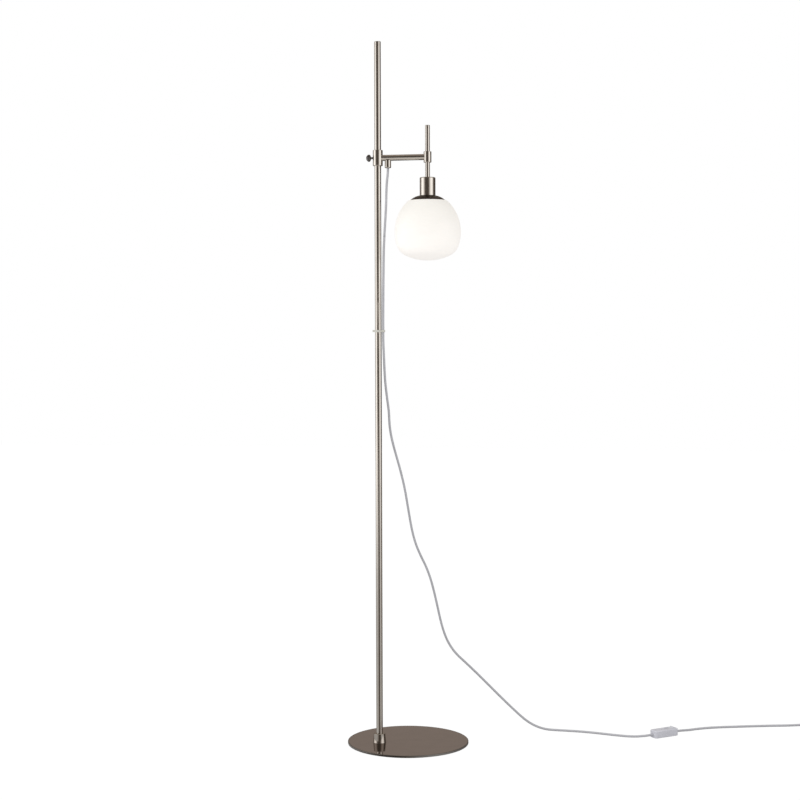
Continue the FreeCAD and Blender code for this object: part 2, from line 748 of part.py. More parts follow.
def make_lampholder():
    """Small-screw lampholder: insulating body, threaded shell and the ring nut on its outside."""
    bush_bore = rod_r + given.fit
    floor_z = rod_low - 1.5
    rim = holder_low + 1
    body = turned(
        "lampholder_body",
        [
            (bush_bore, given.holder_top),
            (bush_bore, rod_low - 0.2),
            (given.lead_dia / 2 + 0.6, rod_low - 0.2),
            (given.lead_dia / 2 + 0.6, floor_z - 1),
            (given.holder_bore / 2, floor_z - 1),
            (given.holder_bore / 2, holder_low),
            (holder_r - 1, holder_low),
            (holder_r, rim),
            (holder_r, given.holder_top - 6),
            (holder_r - 5, given.holder_top),
        ],
    )
    at_rod(body)
    shell_r = given.shell_bore / 2
    shell_low = holder_low + 4
    shell_top = shell_low + given.shell_tall
    shell = turned(
        "lampholder_shell",
        [
            (shell_r, shell_low),
            (given.holder_bore / 2 - 0.1, shell_low),
            (given.holder_bore / 2 - 0.1, shell_low + 1.5),
            (shell_r + given.shell_wall, shell_low + 1.5),
            (shell_r + given.shell_wall, shell_top),
            (shell_r - 4, shell_top),
            (shell_r - 4, shell_top - given.shell_wall),
            (shell_r, shell_top - given.shell_wall),
        ],
    )
    at_rod(shell)
    ring_low = ring_top - given.ring_tall
    ring = turned(
        "holder_ring",
        [
            (holder_r + given.fit, ring_low),
            (given.ring_dia / 2 - 0.9, ring_low),
            (given.ring_dia / 2 - 0.9, ring_top - 1.6),
            (given.ring_dia / 2, ring_top - 1.6),
            (given.ring_dia / 2, ring_top),
            (holder_r + given.fit, ring_top),
        ],
    )
    grip = new_sketch(ring, "XY_Plane", "grip", ring_low)
    circle(grip, given.ring_grip_dia / 2, given.ring_dia / 2 - 0.1)
    notch = cut(ring, "grip_cut", grip, given.ring_tall - 1.6, along_normal=True)
    around = ring.newObject("PartDesign::PolarPattern", "holder_ring_grips")
    around.Originals = [notch]
    around.Axis = (grip, ["N_Axis"])
    around.Angle = 360
    around.Occurrences = 12
    ring.Tip = around
    at_rod(ring)


def make_cap():
    """Domed cap of thin sheet, and the carrier ring under it that the globe's neck screws into."""
    rim_z = cup_low - given.cap_drop
    flat_r = cup_r + 0.4
    rim_r = given.cap_dia / 2
    inner_arc = given.cap_arc - given.cap_wall
    cap = turned(
        "shade_cap",
        [
            (holder_r + 0.2, cup_low - given.cap_wall),
            (flat_r - 0.3, cup_low - given.cap_wall, inner_arc, 1),
            (rim_r - given.cap_wall * 0.9, rim_z),
            (rim_r, rim_z, given.cap_arc, -1),
            (flat_r, cup_low),
            (holder_r + 0.2, cup_low),
        ],
    )
    at_rod(cap)
    carrier_in = neck_r + 0.15
    carrier_out = carrier_in + given.carrier_wall
    skirt_low = given.globe_shoulder_z + 0.25
    flat_end = given.ring_dia / 2
    carrier = turned(
        "shade_carrier",
        [
            (holder_r + 0.2, carrier_z),
            (flat_end, carrier_z),
            (carrier_in, neck_top + 0.15),
            (carrier_in, skirt_low),
            (carrier_out, skirt_low),
            (carrier_out, neck_top + 0.55),
            (flat_end + 0.4, carrier_z + given.carrier_sheet),
            (holder_r + 0.2, carrier_z + given.carrier_sheet),
        ],
    )
    at_rod(carrier)


def globe_outline(sketch, inset):
    """Half the globe's section: a long side arc, a tighter lower corner and a flat-curved underside.

    The three arcs touch in line; an inset moves all of them inwards by the same amount.
    """
    wide = given.globe_dia / 2 - inset
    side = given.globe_side_arc - inset
    corner = given.globe_corner_arc - inset
    low = given.globe_low_arc - inset
    top_z = given.globe_shoulder_z - inset
    drop = given.globe_drop - inset
    middle = given.globe_wide_z.number
    side_centre = Vector(wide.number - side.number, middle, 0)
    low_centre = Vector(0, middle - drop.number + low.number, 0)
    corner_centre = meeting(side_centre, side.number - corner.number, low_centre, low.number - corner.number)
    rise = top_z.number - middle
    start = Vector(side_centre.x + math.sqrt(side.number**2 - rise**2), top_z.number, 0)
    side_end = corner_centre + (corner_centre - side_centre).normalize() * corner.number
    low_start = corner_centre + (corner_centre - low_centre).normalize() * corner.number
    bottom = Vector(0, middle - drop.number, 0)
    neck = neck_r - (inset * 0.92 if inset is not ZERO else ZERO)
    top = neck_top if inset is ZERO else neck_top + 1
    numbers = []
    for first, last, centre, radius in (
        (bottom, low_start, low_centre, low),
        (low_start, side_end, corner_centre, corner),
        (side_end, start, side_centre, side),
    ):
        begin = math.atan2(first.y - centre.y, first.x - centre.x)
        finish = math.atan2(last.y - centre.y, last.x - centre.x)
        arc = Part.ArcOfCircle(Part.Circle(centre, Vector(0, 0, 1), radius.number), begin, finish)
        numbers.append(sketch.addGeometry(arc, False))
    low_arc, corner_arc, side_arc = numbers
    corners = [
        Vector(start.x, start.y, 0),
        Vector(neck.number, start.y, 0),
        Vector(neck.number, top.number, 0),
        Vector(0, top.number, 0),
        bottom,
    ]
    lines = [
        sketch.addGeometry(Part.LineSegment(first, last), False)
        for first, last in zip(corners, corners[1:])
    ]
    tie = sketch.addConstraint
    tie(Sketcher.Constraint("Tangent", low_arc, 2, corner_arc, 1))
    tie(Sketcher.Constraint("Tangent", corner_arc, 2, side_arc, 1))
    tie(Sketcher.Constraint("Coincident", side_arc, 2, lines[0], 1))
    for before, after in zip(lines, lines[1:]):
        tie(Sketcher.Constraint("Coincident", before, 2, after, 1))
    tie(Sketcher.Constraint("Coincident", lines[-1], 2, low_arc, 1))
    tie(Sketcher.Constraint("Vertical", lines[1]))
    tie(Sketcher.Constraint("Vertical", lines[3]))
    for arc, radius in ((low_arc, low), (corner_arc, corner), (side_arc, side)):
        row = tie(Sketcher.Constraint("Radius", arc, radius.number))
        sketch.setExpression(f"Constraints[{row}]", radius.formula)
    pin_coordinate(sketch, "DistanceX", lines[0], 2, neck)
    pin_coordinate(sketch, "DistanceY", lines[0], 1, top_z)
    pin_coordinate(sketch, "DistanceY", lines[0], 2, top_z)
    pin_coordinate(sketch, "DistanceY", lines[1], 2, top)
    pin_coordinate(sketch, "DistanceY", lines[2], 2, top)
    pin_coordinate(sketch, "DistanceX", lines[3], 1, ZERO)
    tie(Sketcher.Constraint("PointOnObject", low_arc, 3, -2))
    pin_coordinate(sketch, "DistanceY", low_arc, 1, given.globe_wide_z - drop)
    pin_coordinate(sketch, "DistanceY", side_arc, 3, given.globe_wide_z)
    index = tie(
        Sketcher.Constraint("DistanceX", side_arc, 3, -1, 1, side.number - wide.number)
    )
    sketch.setExpression(f"Constraints[{index}]", (side - wide).formula)


def meeting(first, first_r, second, second_r):
    """The right-hand point where two circles cross."""
    gap = second - first
    along = (gap.Length**2 + first_r**2 - second_r**2) / (2 * gap.Length)
    across = math.sqrt(first_r**2 - along**2)
    unit = Vector(gap).normalize()
    base = first + unit * along
    side = Vector(unit.y, -unit.x, 0)
    return base + side * across


def make_globe():
    """Blown opal globe: thin glass all round, open only at its screw neck."""
    globe = new_body("glass_shade")
    outer = new_sketch(globe, "XZ_Plane", "outer")
    globe_outline(outer, ZERO)
    spin = feature(globe, "Revolution", "spin", outer)
    spin.ReferenceAxis = (outer, ["V_Axis"])
    spin.Angle = 360
    doc.recompute()
    full = globe.Shape.Volume
    inner = new_sketch(globe, "XZ_Plane", "inner")
    globe_outline(inner, given.glass_wall)
    hollow = feature(globe, "Groove", "hollow", inner)
    hollow.ReferenceAxis = (inner, ["V_Axis"])
    hollow.Angle = 360
    doc.recompute()
    if globe.Shape.Volume > full * 0.5:
        raise RuntimeError("glass_shade: the hollow removed too little")
    keep(at_rod(globe))


def make_bulb():
    """Small round bulb: metal screw base, plastic body and an opal ball."""
    base_r = given.bulb_base_dia / 2 - 0.05
    base_low = holder_low + 3
    base_top = base_low + 25
    ball_r = given.bulb_dia / 2
    ball_z = given.bulb_low_z + ball_r
    waist_r = given.bulb_waist_dia / 2
    waist_z = ball_z + 18.4
    base = turned(
        "bulb_base",
        [
            (ZERO, waist_z + 0.1),
            (waist_r - 0.5, waist_z + 0.1),
            (waist_r, waist_z + 1),
            (base_r + 1.2, holder_low - 0.6),
            (base_r + 1.2, base_low - 1),
            (base_r, base_low),
            (base_r, base_top - 3),
            (given.lead_dia, base_top),
            (ZERO, base_top),
        ],
    )
    at_rod(base)
    glass = turned(
        "bulb_glass",
        [
            (ZERO, given.bulb_low_z, ball_r, -1),
            (ball_r, ball_z, ball_r, -1),
            (waist_r, waist_z),
            (ZERO, waist_z),
        ],
    )
    at_rod(glass)


# ---------------------------------------------------------------- pole clip


def make_clip():
    """Snap-on clip: an open ring round the pole with two ears, and a small closed ring for the lead."""
    ring_r = pole_r + given.slip + given.clip_wall
    loop_r = cord_r + 0.15 + given.clip_wall
    half = given.clip_tall / 2
    clip = new_body("cable_clip")
    body_outline = new_sketch(clip, "XY_Plane", "ring", -half)
    circle(body_outline, ring_r)
    pad(clip, "ring_pad", body_outline, given.clip_tall)
    loop = new_sketch(clip, "XY_Plane", "loop", -half)
    circle(loop, loop_r, given.clip_cord_off)
    pad(clip, "loop_pad", loop, given.clip_tall)
    ears = new_sketch(clip, "XY_Plane", "ears", -half)
    outline(
        ears,
        [
            (-given.clip_ear, -(pole_r * 0.85)),
            (-(pole_r * 0.5), -(pole_r * 0.95)),
            (-(pole_r * 0.5), pole_r * 0.95),
            (-given.clip_ear, pole_r * 0.85),
        ],
    )
    pad(clip, "ears_pad", ears, given.clip_tall)
    bore = new_sketch(clip, "XY_Plane", "bore")
    circle(bore, pole_r + given.slip)
    cut(clip, "bore_cut", bore, symmetric=True)
    cord_hole = new_sketch(clip, "XY_Plane", "cord_hole")
    circle(cord_hole, cord_r + 0.15, given.clip_cord_off)
    cut(clip, "cord_hole_cut", cord_hole, symmetric=True)
    mouth = new_sketch(clip, "XY_Plane", "mouth")
    outline(
        mouth,
        [
            (-given.clip_ear - 1, -(pole_r * 0.72)),
            (-pole_r, -(pole_r * 0.5)),
            (-(pole_r * 0.6), -(pole_r * 0.5)),
            (-(pole_r * 0.6), pole_r * 0.5),
            (-pole_r, pole_r * 0.5),
            (-given.clip_ear - 1, pole_r * 0.72),
        ],
    )
    cut(clip, "mouth_cut", mouth, symmetric=True)
    keep(at_pole(clip, given.clip_z))


# ---------------------------------------------------------------- rocker switch on the lead


def on_lead(piece):
    """Puts a switch piece on the lead, turned to its direction."""
    piece.Placement = Placement(Vector(), Rotation(Vector(0, 0, 1), given.switch_turn.number))
    piece.setExpression(".Placement.Rotation.Angle", given.switch_turn.formula)
    return place(piece, given.switch_x, given.switch_y)


def rounded_box(sketch, half_x, half_y, rounding, x=ZERO):
    """A rectangle with round corners about a point on the sketch's level axis."""
    left, right = x - half_x, x + half_x
    outline(
        sketch,
        [
            (left + rounding, -half_y),
            (right - rounding, -half_y, rounding, -1),
            (right, -half_y + rounding),
            (right, half_y - rounding, rounding, -1),
            (right - rounding, half_y),
            (left + rounding, half_y, rounding, -1),
            (left, half_y - rounding),
            (left, -half_y + rounding, rounding, -1),
        ],
    )


def shell(label, low, tall, hollow_low, hollow_tall):
    """One half of the switch's housing, with its hollow and the round channel for the lead."""
    half_x = given.switch_long / 2
    half_y = given.switch_wide / 2
    body = new_body(label)
    plan = new_sketch(body, "XY_Plane", "plan", low)
    rounded_box(plan, half_x, half_y, given.switch_corner)
    pad(body, "plan_pad", plan, tall)
    hollow = new_sketch(body, "XY_Plane", "hollow", hollow_low)
    wall = given.switch_wall
    rounded_box(hollow, half_x - given.switch_end, half_y - wall, given.switch_corner - wall)
    cut(body, "hollow_cut", hollow, hollow_tall, along_normal=True)
    channel = new_sketch(body, "YZ_Plane", "channel")
    circle(channel, cord_r + 0.1, ZERO, given.switch_low_tall)
    cut(body, "channel_cut", channel, given.switch_long + 2, symmetric=True)
    return body


def soften(body, base, edge_z, size, name):
    """Rounds the shell's long outline at one height."""
    wanted = []
    for number, edge in enumerate(base.Shape.Edges, 1):
        box = edge.BoundBox
        flat = abs(box.ZMin - edge_z) < 0.001 and abs(box.ZMax - edge_z) < 0.001
        outside = max(abs(box.YMin), abs(box.YMax)) > given.switch_wide.number / 2 - 0.01
        ends = max(abs(box.XMin), abs(box.XMax)) > given.switch_long.number / 2 - 0.01
        if flat and (outside or ends):
            wanted.append(f"Edge{number}")
    rounding = body.newObject("PartDesign::Fillet", f"{body.Label}_{name}")
    rounding.Base = (base, wanted)
    rounding.setExpression("Radius", size.formula)
    return rounding


def make_switch():
    """In-line switch: two shells screwed together, a rocker on its own pin and the contact frame inside."""
    wall = given.switch_wall
    floor_gap = as_size(0.05)
    low = shell("switch_base", floor_gap, given.switch_low_tall - floor_gap, wall, given.switch_low_tall)
    doc.recompute()
    soften(low, low.Tip, floor_gap.number, given.switch_low_round, "under_round")
    top_z = given.switch_low_tall + given.switch_top_tall
    high = shell(
        "switch_top",
        given.switch_low_tall + 0.02,
        given.switch_top_tall - 0.02,
        given.switch_low_tall - 1,
        given.switch_top_tall - wall + 1,
    )
    window = new_sketch(high, "XY_Plane", "window", top_z)
    box_outline(
        window,
        given.rocker_off - given.rocker_long / 2 - given.rocker_gap,
        -(given.rocker_wide / 2 + given.rocker_gap),
        given.rocker_off + given.rocker_long / 2 + given.rocker_gap,
        given.rocker_wide / 2 + given.rocker_gap,
    )
    cut(high, "window_cut", window, given.switch_top_tall / 2)
    doc.recompute()
    soften(high, high.Tip, top_z.number, given.switch_top_round, "top_round")
    keep(on_lead(low))
    keep(on_lead(high))

    under = given.rocker_pin_low
    pivot_z = top_z - under
    reach = given.rocker_long / 2
    boss = given.rocker_boss / 2
    side_low = as_size(0.6)
    rocker_top = under + given.rocker_proud
    rocker = new_body("switch_rocker")
    side = new_sketch(rocker, "XZ_Plane", "side")
    outline(
        side,
        [
            (-boss, -boss),
            (boss, -boss),
            (reach - 0.8, side_low),
            (reach, under),
            (reach - 0.4, rocker_top, reach * 2.1, 1),
            (-reach + 0.4, rocker_top),
            (-reach, under),
            (-reach + 0.8, side_low),
        ],
    )
    pad(rocker, "side_pad", side, given.rocker_wide, symmetric=True)
    pin_hole = new_sketch(rocker, "XZ_Plane", "pin_hole")
    circle(pin_hole, given.rocker_pin_dia / 2 + 0.05)
    cut(rocker, "pin_hole_cut", pin_hole, given.rocker_wide + 2, symmetric=True)
    turn = Rotation(Vector(0, 0, 1), given.switch_turn.number)
    rocker.Placement = Placement(Vector(), turn * Rotation(Vector(0, 1, 0), -given.rocker_tilt.number))
    heading = "(Sizes.switch_turn * 1 deg)"
    rocker.setExpression(".Placement.Base.x", f"Sizes.switch_x + Sizes.rocker_off * cos{heading}")
    rocker.setExpression(".Placement.Base.y", f"Sizes.switch_y + Sizes.rocker_off * sin{heading}")
    rocker.setExpression(".Placement.Base.z", pivot_z.formula)
    keep(rocker)

    pin = new_body("rocker_pin")
    pin_section = new_sketch(pin, "XZ_Plane", "section")
    circle(pin_section, given.rocker_pin_dia / 2, given.rocker_off, pivot_z)
    pad(pin, "section_pad", pin_section, given.rocker_wide + 3, symmetric=True)
    keep(on_lead(pin))

    frame = new_body("switch_contacts")
    cradle = new_sketch(frame, "XY_Plane", "cradle", wall + 0.1)
    box_outline(
        cradle,
        given.rocker_off - reach + 1,
        -(given.rocker_wide / 2 + 2.2),
        given.rocker_off + reach - 1,
        given.rocker_wide / 2 + 2.2,
    )
    pad(frame, "cradle_pad", cradle, pivot_z - wall + 1.3)
    well = new_sketch(frame, "XY_Plane", "well", wall + 1.5)
    box_outline(
        well,
        given.rocker_off - reach - 1,
        -(given.rocker_wide / 2 + 0.3),
        given.rocker_off + reach + 1,
        given.rocker_wide / 2 + 0.3,
    )
    cut(frame, "well_cut", well, pivot_z + 5, along_normal=True)
    seat = new_sketch(frame, "XZ_Plane", "seat")
    circle(seat, given.rocker_pin_dia / 2 + 0.03, given.rocker_off, pivot_z)
    cut(frame, "seat_cut", seat, given.switch_wide, symmetric=True)
    keep(on_lead(frame))

    screws = []
    for number, (side_x, side_y) in enumerate(((-1, -1), (-1, 1), (1, -1), (1, 1)), 1):
        off_x = (given.switch_long / 2 - 4.6) * side_x
        off_y = (given.switch_wide / 2 - 4.2) * side_y
        head = doc.addObject("Part::Cylinder", f"switch_screw_head_{number}")
        head.setExpression("Radius", (given.screw_head_dia / 2).formula)
        head.Height = 1.2
        stem = doc.addObject("Part::Cylinder", f"switch_screw_stem_{number}")
        stem.setExpression("Radius", (given.screw_dia / 2).formula)
        stem.setExpression("Height", (given.switch_low_tall + 2).formula)
        screw = doc.addObject("Part::Fuse", f"switch_screw_{number}")
        screw.Base = head
        screw.Tool = stem
        place(screw, off_x, off_y, as_size(0.3))
        screws.append(screw)
        for housing, drill in ((low, given.screw_dia / 2), (high, given.screw_dia / 2)):
            drill_screw_hole(housing, off_x, off_y, drill + 0.05, number)
        drill_head_seat(low, off_x, off_y, number)
    group = doc.addObject("Part::Compound", "switch_screws")
    group.Label = "switch_screws"
    group.Links = screws
    keep(on_lead(group))


def drill_screw_hole(housing, x, y, radius, number):
    """A hole through one shell for a screw's stem."""
    sketch = new_sketch(housing, "XY_Plane", f"screw_hole_{number}")
    circle(sketch, radius, x, y)
    cut(housing, f"screw_hole_cut_{number}", sketch, given.switch_low_tall + 2.4, along_normal=True)


def drill_head_seat(housing, x, y, number):
    """The counterbore that hides a screw's head."""
    sketch = new_sketch(housing, "XY_Plane", f"head_seat_{number}")
    circle(sketch, given.screw_head_dia / 2 + 0.1, x, y)
    cut(housing, f"head_seat_cut_{number}", sketch, as_size(1.6), along_normal=True)


# ---------------------------------------------------------------- the lead

# points of each stretch, chosen by hand along the lead's real route
NECK_ROUTE = (
    (-36.4, -24.1, 1233.6),
    (-36.6, -24.1, 1222.0),
    (-38.6, -24.1, 1207.0),
    (-40.0, -24.0, 1186.0),
    (-40.4, -24.1, 1160.0),
    (-41.6, -24.2, 1136.0),
    (-43.2, -24.1, 1112.0),
    (-44.6, -24.1, 1088.0),
)
RISER_ROUTE = (
    (-44.6, -24.1, 1088.0),
    (-46.0, -24.1, 1064.0),
    (-46.5, -24.2, 1028.0),
    (-47.1, -24.0, 990.0),
    (-47.4, -24.1, 950.0),
    (-47.7, -24.1, 915.0),
    (-47.7, -24.1, 886.3),
)
DROP_ROUTE = (
    (-47.7, -24.1, 886.3),
    (-47.7, -24.0, 868.0),
    (-46.9, -22.9, 843.0),
    (-45.9, -21.2, 810.0),
    (-44.6, -18.4, 777.0),
    (-41.2, -15.1, 744.0),
    (-37.9, -12.4, 716.0),
    (-37.3, -10.6, 688.0),
    (-33.9, -8.0, 662.0),
    (-27.0, -4.0, 632.0),
    (-17.2, 1.4, 595.0),
    (-7.6, 7.2, 552.0),
    (-1.2, 13.4, 506.0),
    (4.6, 20.3, 464.0),
    (11.4, 26.4, 432.0),
    (21.6, 33.0, 404.0),
    (33.6, 38.9, 378.0),
    (42.6, 44.5, 351.0),
    (49.3, 49.9, 322.0),
    (55.3, 56.0, 291.0),
    (60.6, 62.0, 261.0),
    (67.2, 68.3, 232.0),
    (77.0, 75.0, 205.0),
    (92.3, 82.0, 181.0),
    (113.5, 89.8, 160.0),
    (137.5, 98.6, 135.0),
    (164.1, 108.5, 106.0),
    (191.8, 118.5, 76.0),
    (217.4, 128.6, 49.0),
    (238.0, 137.5, 28.0),
    (258.5, 145.3, 13.0),
    (281.9, 151.8, 4.0),
    (305.4, 153.9, 2.5),
    (333.6, 152.2, 2.5),
    (365.6, 149.2, 2.5),
    (395.5, 142.4, 2.5),
    (426.4, 133.2, 2.5),
    (457.8, 124.8, 2.5),
    (482.4, 119.6, 3.6),
    (502.0, 119.6, 5.9),
    (511.8, 123.3, 6.8),
    (519.3, 129.7, 6.8),
)
TAIL_ROUTE = (
    (567.9, 168.3, 6.8),
    (575.4, 174.3, 6.8),
    (586.6, 187.2, 5.0),
    (598.6, 201.6, 2.8),
    (615.0, 215.6, 2.5),
    (640.0, 229.6, 2.5),
    (669.0, 240.8, 2.5),
    (703.4, 250.8, 2.5),
    (742.5, 262.4, 2.5),
    (782.8, 273.0, 2.5),
    (816.0, 280.2, 2.5),
    (845.6, 288.2, 3.0),
    (868.0, 297.2, 3.5),
    (889.7, 301.3, 3.5),
)


def route_wire(label, route):
    """Straight runs joined by tangent arcs, each arc as large as its two runs allow."""
    points = [Vector(*point) for point in route]
    share = 0.45
    edges = []
    radii = []
    start = points[0]
    for before, corner, after in zip(points, points[1:], points[2:]):
        back = before - corner
        ahead = after - corner
        turn = math.pi - back.getAngle(ahead)
        setback = share * min(back.Length, ahead.Length)
        radii.append(setback / math.tan(turn / 2))
        enter = corner + back.normalize() * setback
        leave = corner + ahead.normalize() * setback
        inward = (back + ahead).normalize()
        centre_gap = radii[-1] / math.cos(turn / 2)
        middle = corner + inward * (centre_gap - radii[-1])
        edges.append(Part.LineSegment(start, enter).toShape())
        edges.append(Part.Arc(enter, middle, leave).toShape())
        start = leave
    edges.append(Part.LineSegment(start, points[-1]).toShape())
    wire = Part.Wire(edges)
    print(f"{label}: length {wire.Length:.1f}, radii {[round(radius) for radius in radii]}")
    return wire


def swept(label, wire, radius):
    """A round tube along a wire, whose volume is compared with its section times its length."""
    first = wire.Edges[0]
    start = first.valueAt(first.FirstParameter)
    direction = first.tangentAt(first.FirstParameter)
    ring = Part.Wire([Part.makeCircle(radius, start, direction)])
    solid = wire.makePipeShell([ring], True, False)
    share = solid.Volume / (math.pi * radius * radius * wire.Length)
    print(f"{label}: volume is {share:.4f} of section times length")
    if abs(share - 1) > 0.01:
        raise RuntimeError(f"{label}: the tube's volume is off")
    item = doc.addObject("Part::Feature", label)
    item.Label = label
    item.Shape = solid
    return keep(item)


def coil_point(turn):
    """The coil's middle line: in along the lower layer, up in half a turn, out along the upper layer."""
    pitch = given.coil_pitch.number
    outer = given.coil_mid_radius.number + pitch * INWARD_TURNS / 2
    inner = outer - pitch * INWARD_TURNS
    low = given.coil_low_z.number
    if turn <= INWARD_TURNS:
        radius, height = outer - pitch * turn, low
    elif turn <= INWARD_TURNS + CLIMB_TURNS:
        share = (turn - INWARD_TURNS) / CLIMB_TURNS
        radius = inner - 1.8 * math.sin(math.pi * share) ** 2
        height = low + pitch * share * share * (3 - 2 * share)
    else:
        radius, height = inner + pitch * (turn - INWARD_TURNS - CLIMB_TURNS), low + pitch
    angle = math.radians(COIL_START_ANGLE) - 2 * math.pi * turn
    middle = Vector(given.coil_x.number, given.coil_y.number, height)
    return middle + Vector(math.cos(angle), math.sin(angle), 0) * radius


def coil_heading(turn):
    """Direction of the coil's middle line at a turn."""
    step = 0.002
    first = max(turn - step, 0.0)
    last = min(turn + step, COIL_TURNS)
    return (coil_point(last) - coil_point(first)).normalize()


def biarc(start, start_way, end, end_way):
    """Two arcs that leave start and reach end in the given directions."""
    gap = end - start
    ways = start_way + end_way
    bend = 2 * (1 - start_way.dot(end_way))
    along = gap.dot(ways)
    if bend < 1e-9:
        reach = gap.dot(gap) / (2 * along)
    else:
        reach = (-along + math.sqrt(along * along + bend * gap.dot(gap))) / bend
    joint = (start + start_way * reach + end - end_way * reach) * 0.5
    return [arc_with_start(start, start_way, joint), arc_with_start(end, end_way * -1, joint, True)]


def arc_with_start(start, way, end, backwards=False):
    """The arc from start to end that leaves start in a direction; backwards swaps its sense."""
    chord = end - start
    bisector = (Vector(way).normalize() + Vector(chord).normalize()).normalize()
    half_turn = way.getAngle(chord)
    if half_turn < 1e-6:
        line = Part.LineSegment(end, start) if backwards else Part.LineSegment(start, end)
        return line.toShape()
    middle = start + bisector * (chord.Length / 2 / math.cos(half_turn / 2))
    arc = Part.Arc(end, middle, start) if backwards else Part.Arc(start, middle, end)
    return arc.toShape()


INWARD_TURNS = 2.75
CLIMB_TURNS = 0.5
OUTWARD_TURNS = 3.0
COIL_TURNS = INWARD_TURNS + CLIMB_TURNS + OUTWARD_TURNS
COIL_START_ANGLE = 100.0
QUARTERS = round(COIL_TURNS * 4)
LEAD_OUT = 26.0


def coil_wire():
    """The coil's middle line: a biarc for each quarter turn, and a short straight run at both ends."""
    stops = [COIL_TURNS * index / QUARTERS for index in range(QUARTERS + 1)]
    points = [coil_point(stop) for stop in stops]
    headings = [coil_heading(stop) for stop in stops]
    level = Vector(headings[0].x, headings[0].y, 0).normalize()
    lead_in = points[0] - level * given.cord_dia.number
    edges = [Part.LineSegment(lead_in, points[0]).toShape()]
    headings[0] = level
    for index in range(QUARTERS):
        edges += biarc(points[index], headings[index], points[index + 1], headings[index + 1])
    leave = Vector(headings[-1].x, headings[-1].y, 0).normalize()
    plug_z = given.plug_thick.number / 2
    drop_end = points[-1] + leave * LEAD_OUT
    drop_end.z = plug_z
    edges += biarc(points[-1], headings[-1], drop_end, leave)
    end = drop_end + leave * given.cord_dia.number
    edges.append(Part.LineSegment(drop_end, end).toShape())
    wire = Part.Wire(edges)
    print(f"coil ends: starts at {rounded(lead_in)}, ends at {rounded(end)}")
    print(f"cord_coil: length {wire.Length:.1f}, least self gap {self_gap(stops):.2f}")
    return wire, end, leave


def rounded(point):
    """A point as short numbers, for printing."""
    return tuple(round(value, 1) for value in point)


def self_gap(stops):
    """Least distance between the surfaces of different turns, measured on points of the middle line."""
    steps = 48
    turns = [stops[-1] * index / (QUARTERS * steps // 4) for index in range(QUARTERS * steps // 4 + 1)]
    points = [coil_point(turn) for turn in turns]
    apart = steps // 2
    least = min(
        (points[first] - points[second]).Length
        for first in range(0, len(points), 2)
        for second in range(first + apart, len(points), 2)
    )
    return least - given.cord_dia.number


def make_lead():
    """The lead outside the lamp, in stretches that meet face to face, and the coil at its end."""
    radius = cord_r.number
    swept("cord_neck", route_wire("cord_neck", NECK_ROUTE), radius)
    swept("cord_riser", route_wire("cord_riser", RISER_ROUTE), radius)
    swept("cord_drop", route_wire("cord_drop", DROP_ROUTE), radius)
    swept("cord_tail", route_wire("cord_tail", TAIL_ROUTE), radius)
    wire, end, way = coil_wire()
    swept("cord_coil", wire, radius)
    return end, way


def make_inner_lead():
    """The lead inside the lamp: up the gland, along the arm and down the rod to the lampholder."""
    bend = given.lead_bend.number
    x_gland = gland_x.number
    x_rod = rod_x.number
    y = pole_y.number
    z_arm = given.arm_height.number
    low = given.gland_low_z.number + 0.1
    corners = [
        Vector(x_gland, y, low),
        Vector(x_gland, y, z_arm),
        Vector(x_rod, y, z_arm),
        Vector(x_rod, y, rod_low.number - 1.6),
    ]
    edges = []
    start = corners[0]
    for before, corner, after in zip(corners, corners[1:], corners[2:]):
        back = (before - corner).normalize()
        ahead = (after - corner).normalize()
        enter = corner + back * bend
        leave = corner + ahead * bend
        middle = corner + (back + ahead).normalize() * (bend * (math.sqrt(2) - 1))
        edges.append(Part.LineSegment(start, enter).toShape())
        edges.append(Part.Arc(enter, middle, leave).toShape())
        start = leave
    edges.append(Part.LineSegment(start, corners[-1]).toShape())
    swept("inner_lead", Part.Wire(edges), given.lead_dia.number / 2)


def make_tie():
    """Flat strap round the coil's bundle of turns."""
    pitch = given.coil_pitch.number
    reach = cord_r.number + 0.35
    half_band = pitch * INWARD_TURNS / 2 + pitch * 0.5
    inner = given.coil_mid_radius.number - half_band - reach
    outer = given.coil_mid_radius.number + half_band + reach
    low = given.coil_low_z.number - reach
    high = given.coil_low_z.number + pitch + reach
    thick = given.tie_thick.number
    wide = given.tie_wide.number
    hole = Part.makeBox(outer - inner, wide + 2, high - low, Vector(inner, -wide / 2 - 1, low))
    around = Part.makeBox(
        outer - inner + 2 * thick, wide, high - low + 2 * thick, Vector(inner - thick, -wide / 2, low - thick)
    )
    edges = [edge for edge in around.Edges if abs(edge.Length - wide) < 0.01]
    strap = around.makeFillet(2.0, edges)
    inside = [edge for edge in hole.Edges if abs(edge.Length - wide - 2) < 0.01]
    strap = strap.cut(hole.makeFillet(1.3, inside))
    item = doc.addObject("Part::Feature", "coil_tie")
    item.Label = "coil_tie"
    item.Shape = strap
    item.Placement = Placement(
        Vector(given.coil_x.number, given.coil_y.number, 0), Rotation(Vector(0, 0, 1), TIE_ANGLE)
    )
    keep(item)


TIE_ANGLE = 215.0


# ---------------------------------------------------------------- plug


def plug_section(half_wide, half_thick, along):
    """A flattened six-sided section with small rounded corners, square to the plug's axis."""
    corners = [
        Vector(half_wide, 0, along),
        Vector(half_wide * 0.62, half_thick, along),
        Vector(-half_wide * 0.62, half_thick, along),
        Vector(-half_wide, 0, along),
        Vector(-half_wide * 0.62, -half_thick, along),
        Vector(half_wide * 0.62, -half_thick, along),
    ]
    return Part.makePolygon(corners + corners[:1])


def round_bar(dia, low, high, side):
    """A round bar along the plug, on one side of its middle."""
    at = Vector(side * given.pin_spacing.number / 2, 0, low)
    return Part.makeCylinder(dia / 2, high - low, at)


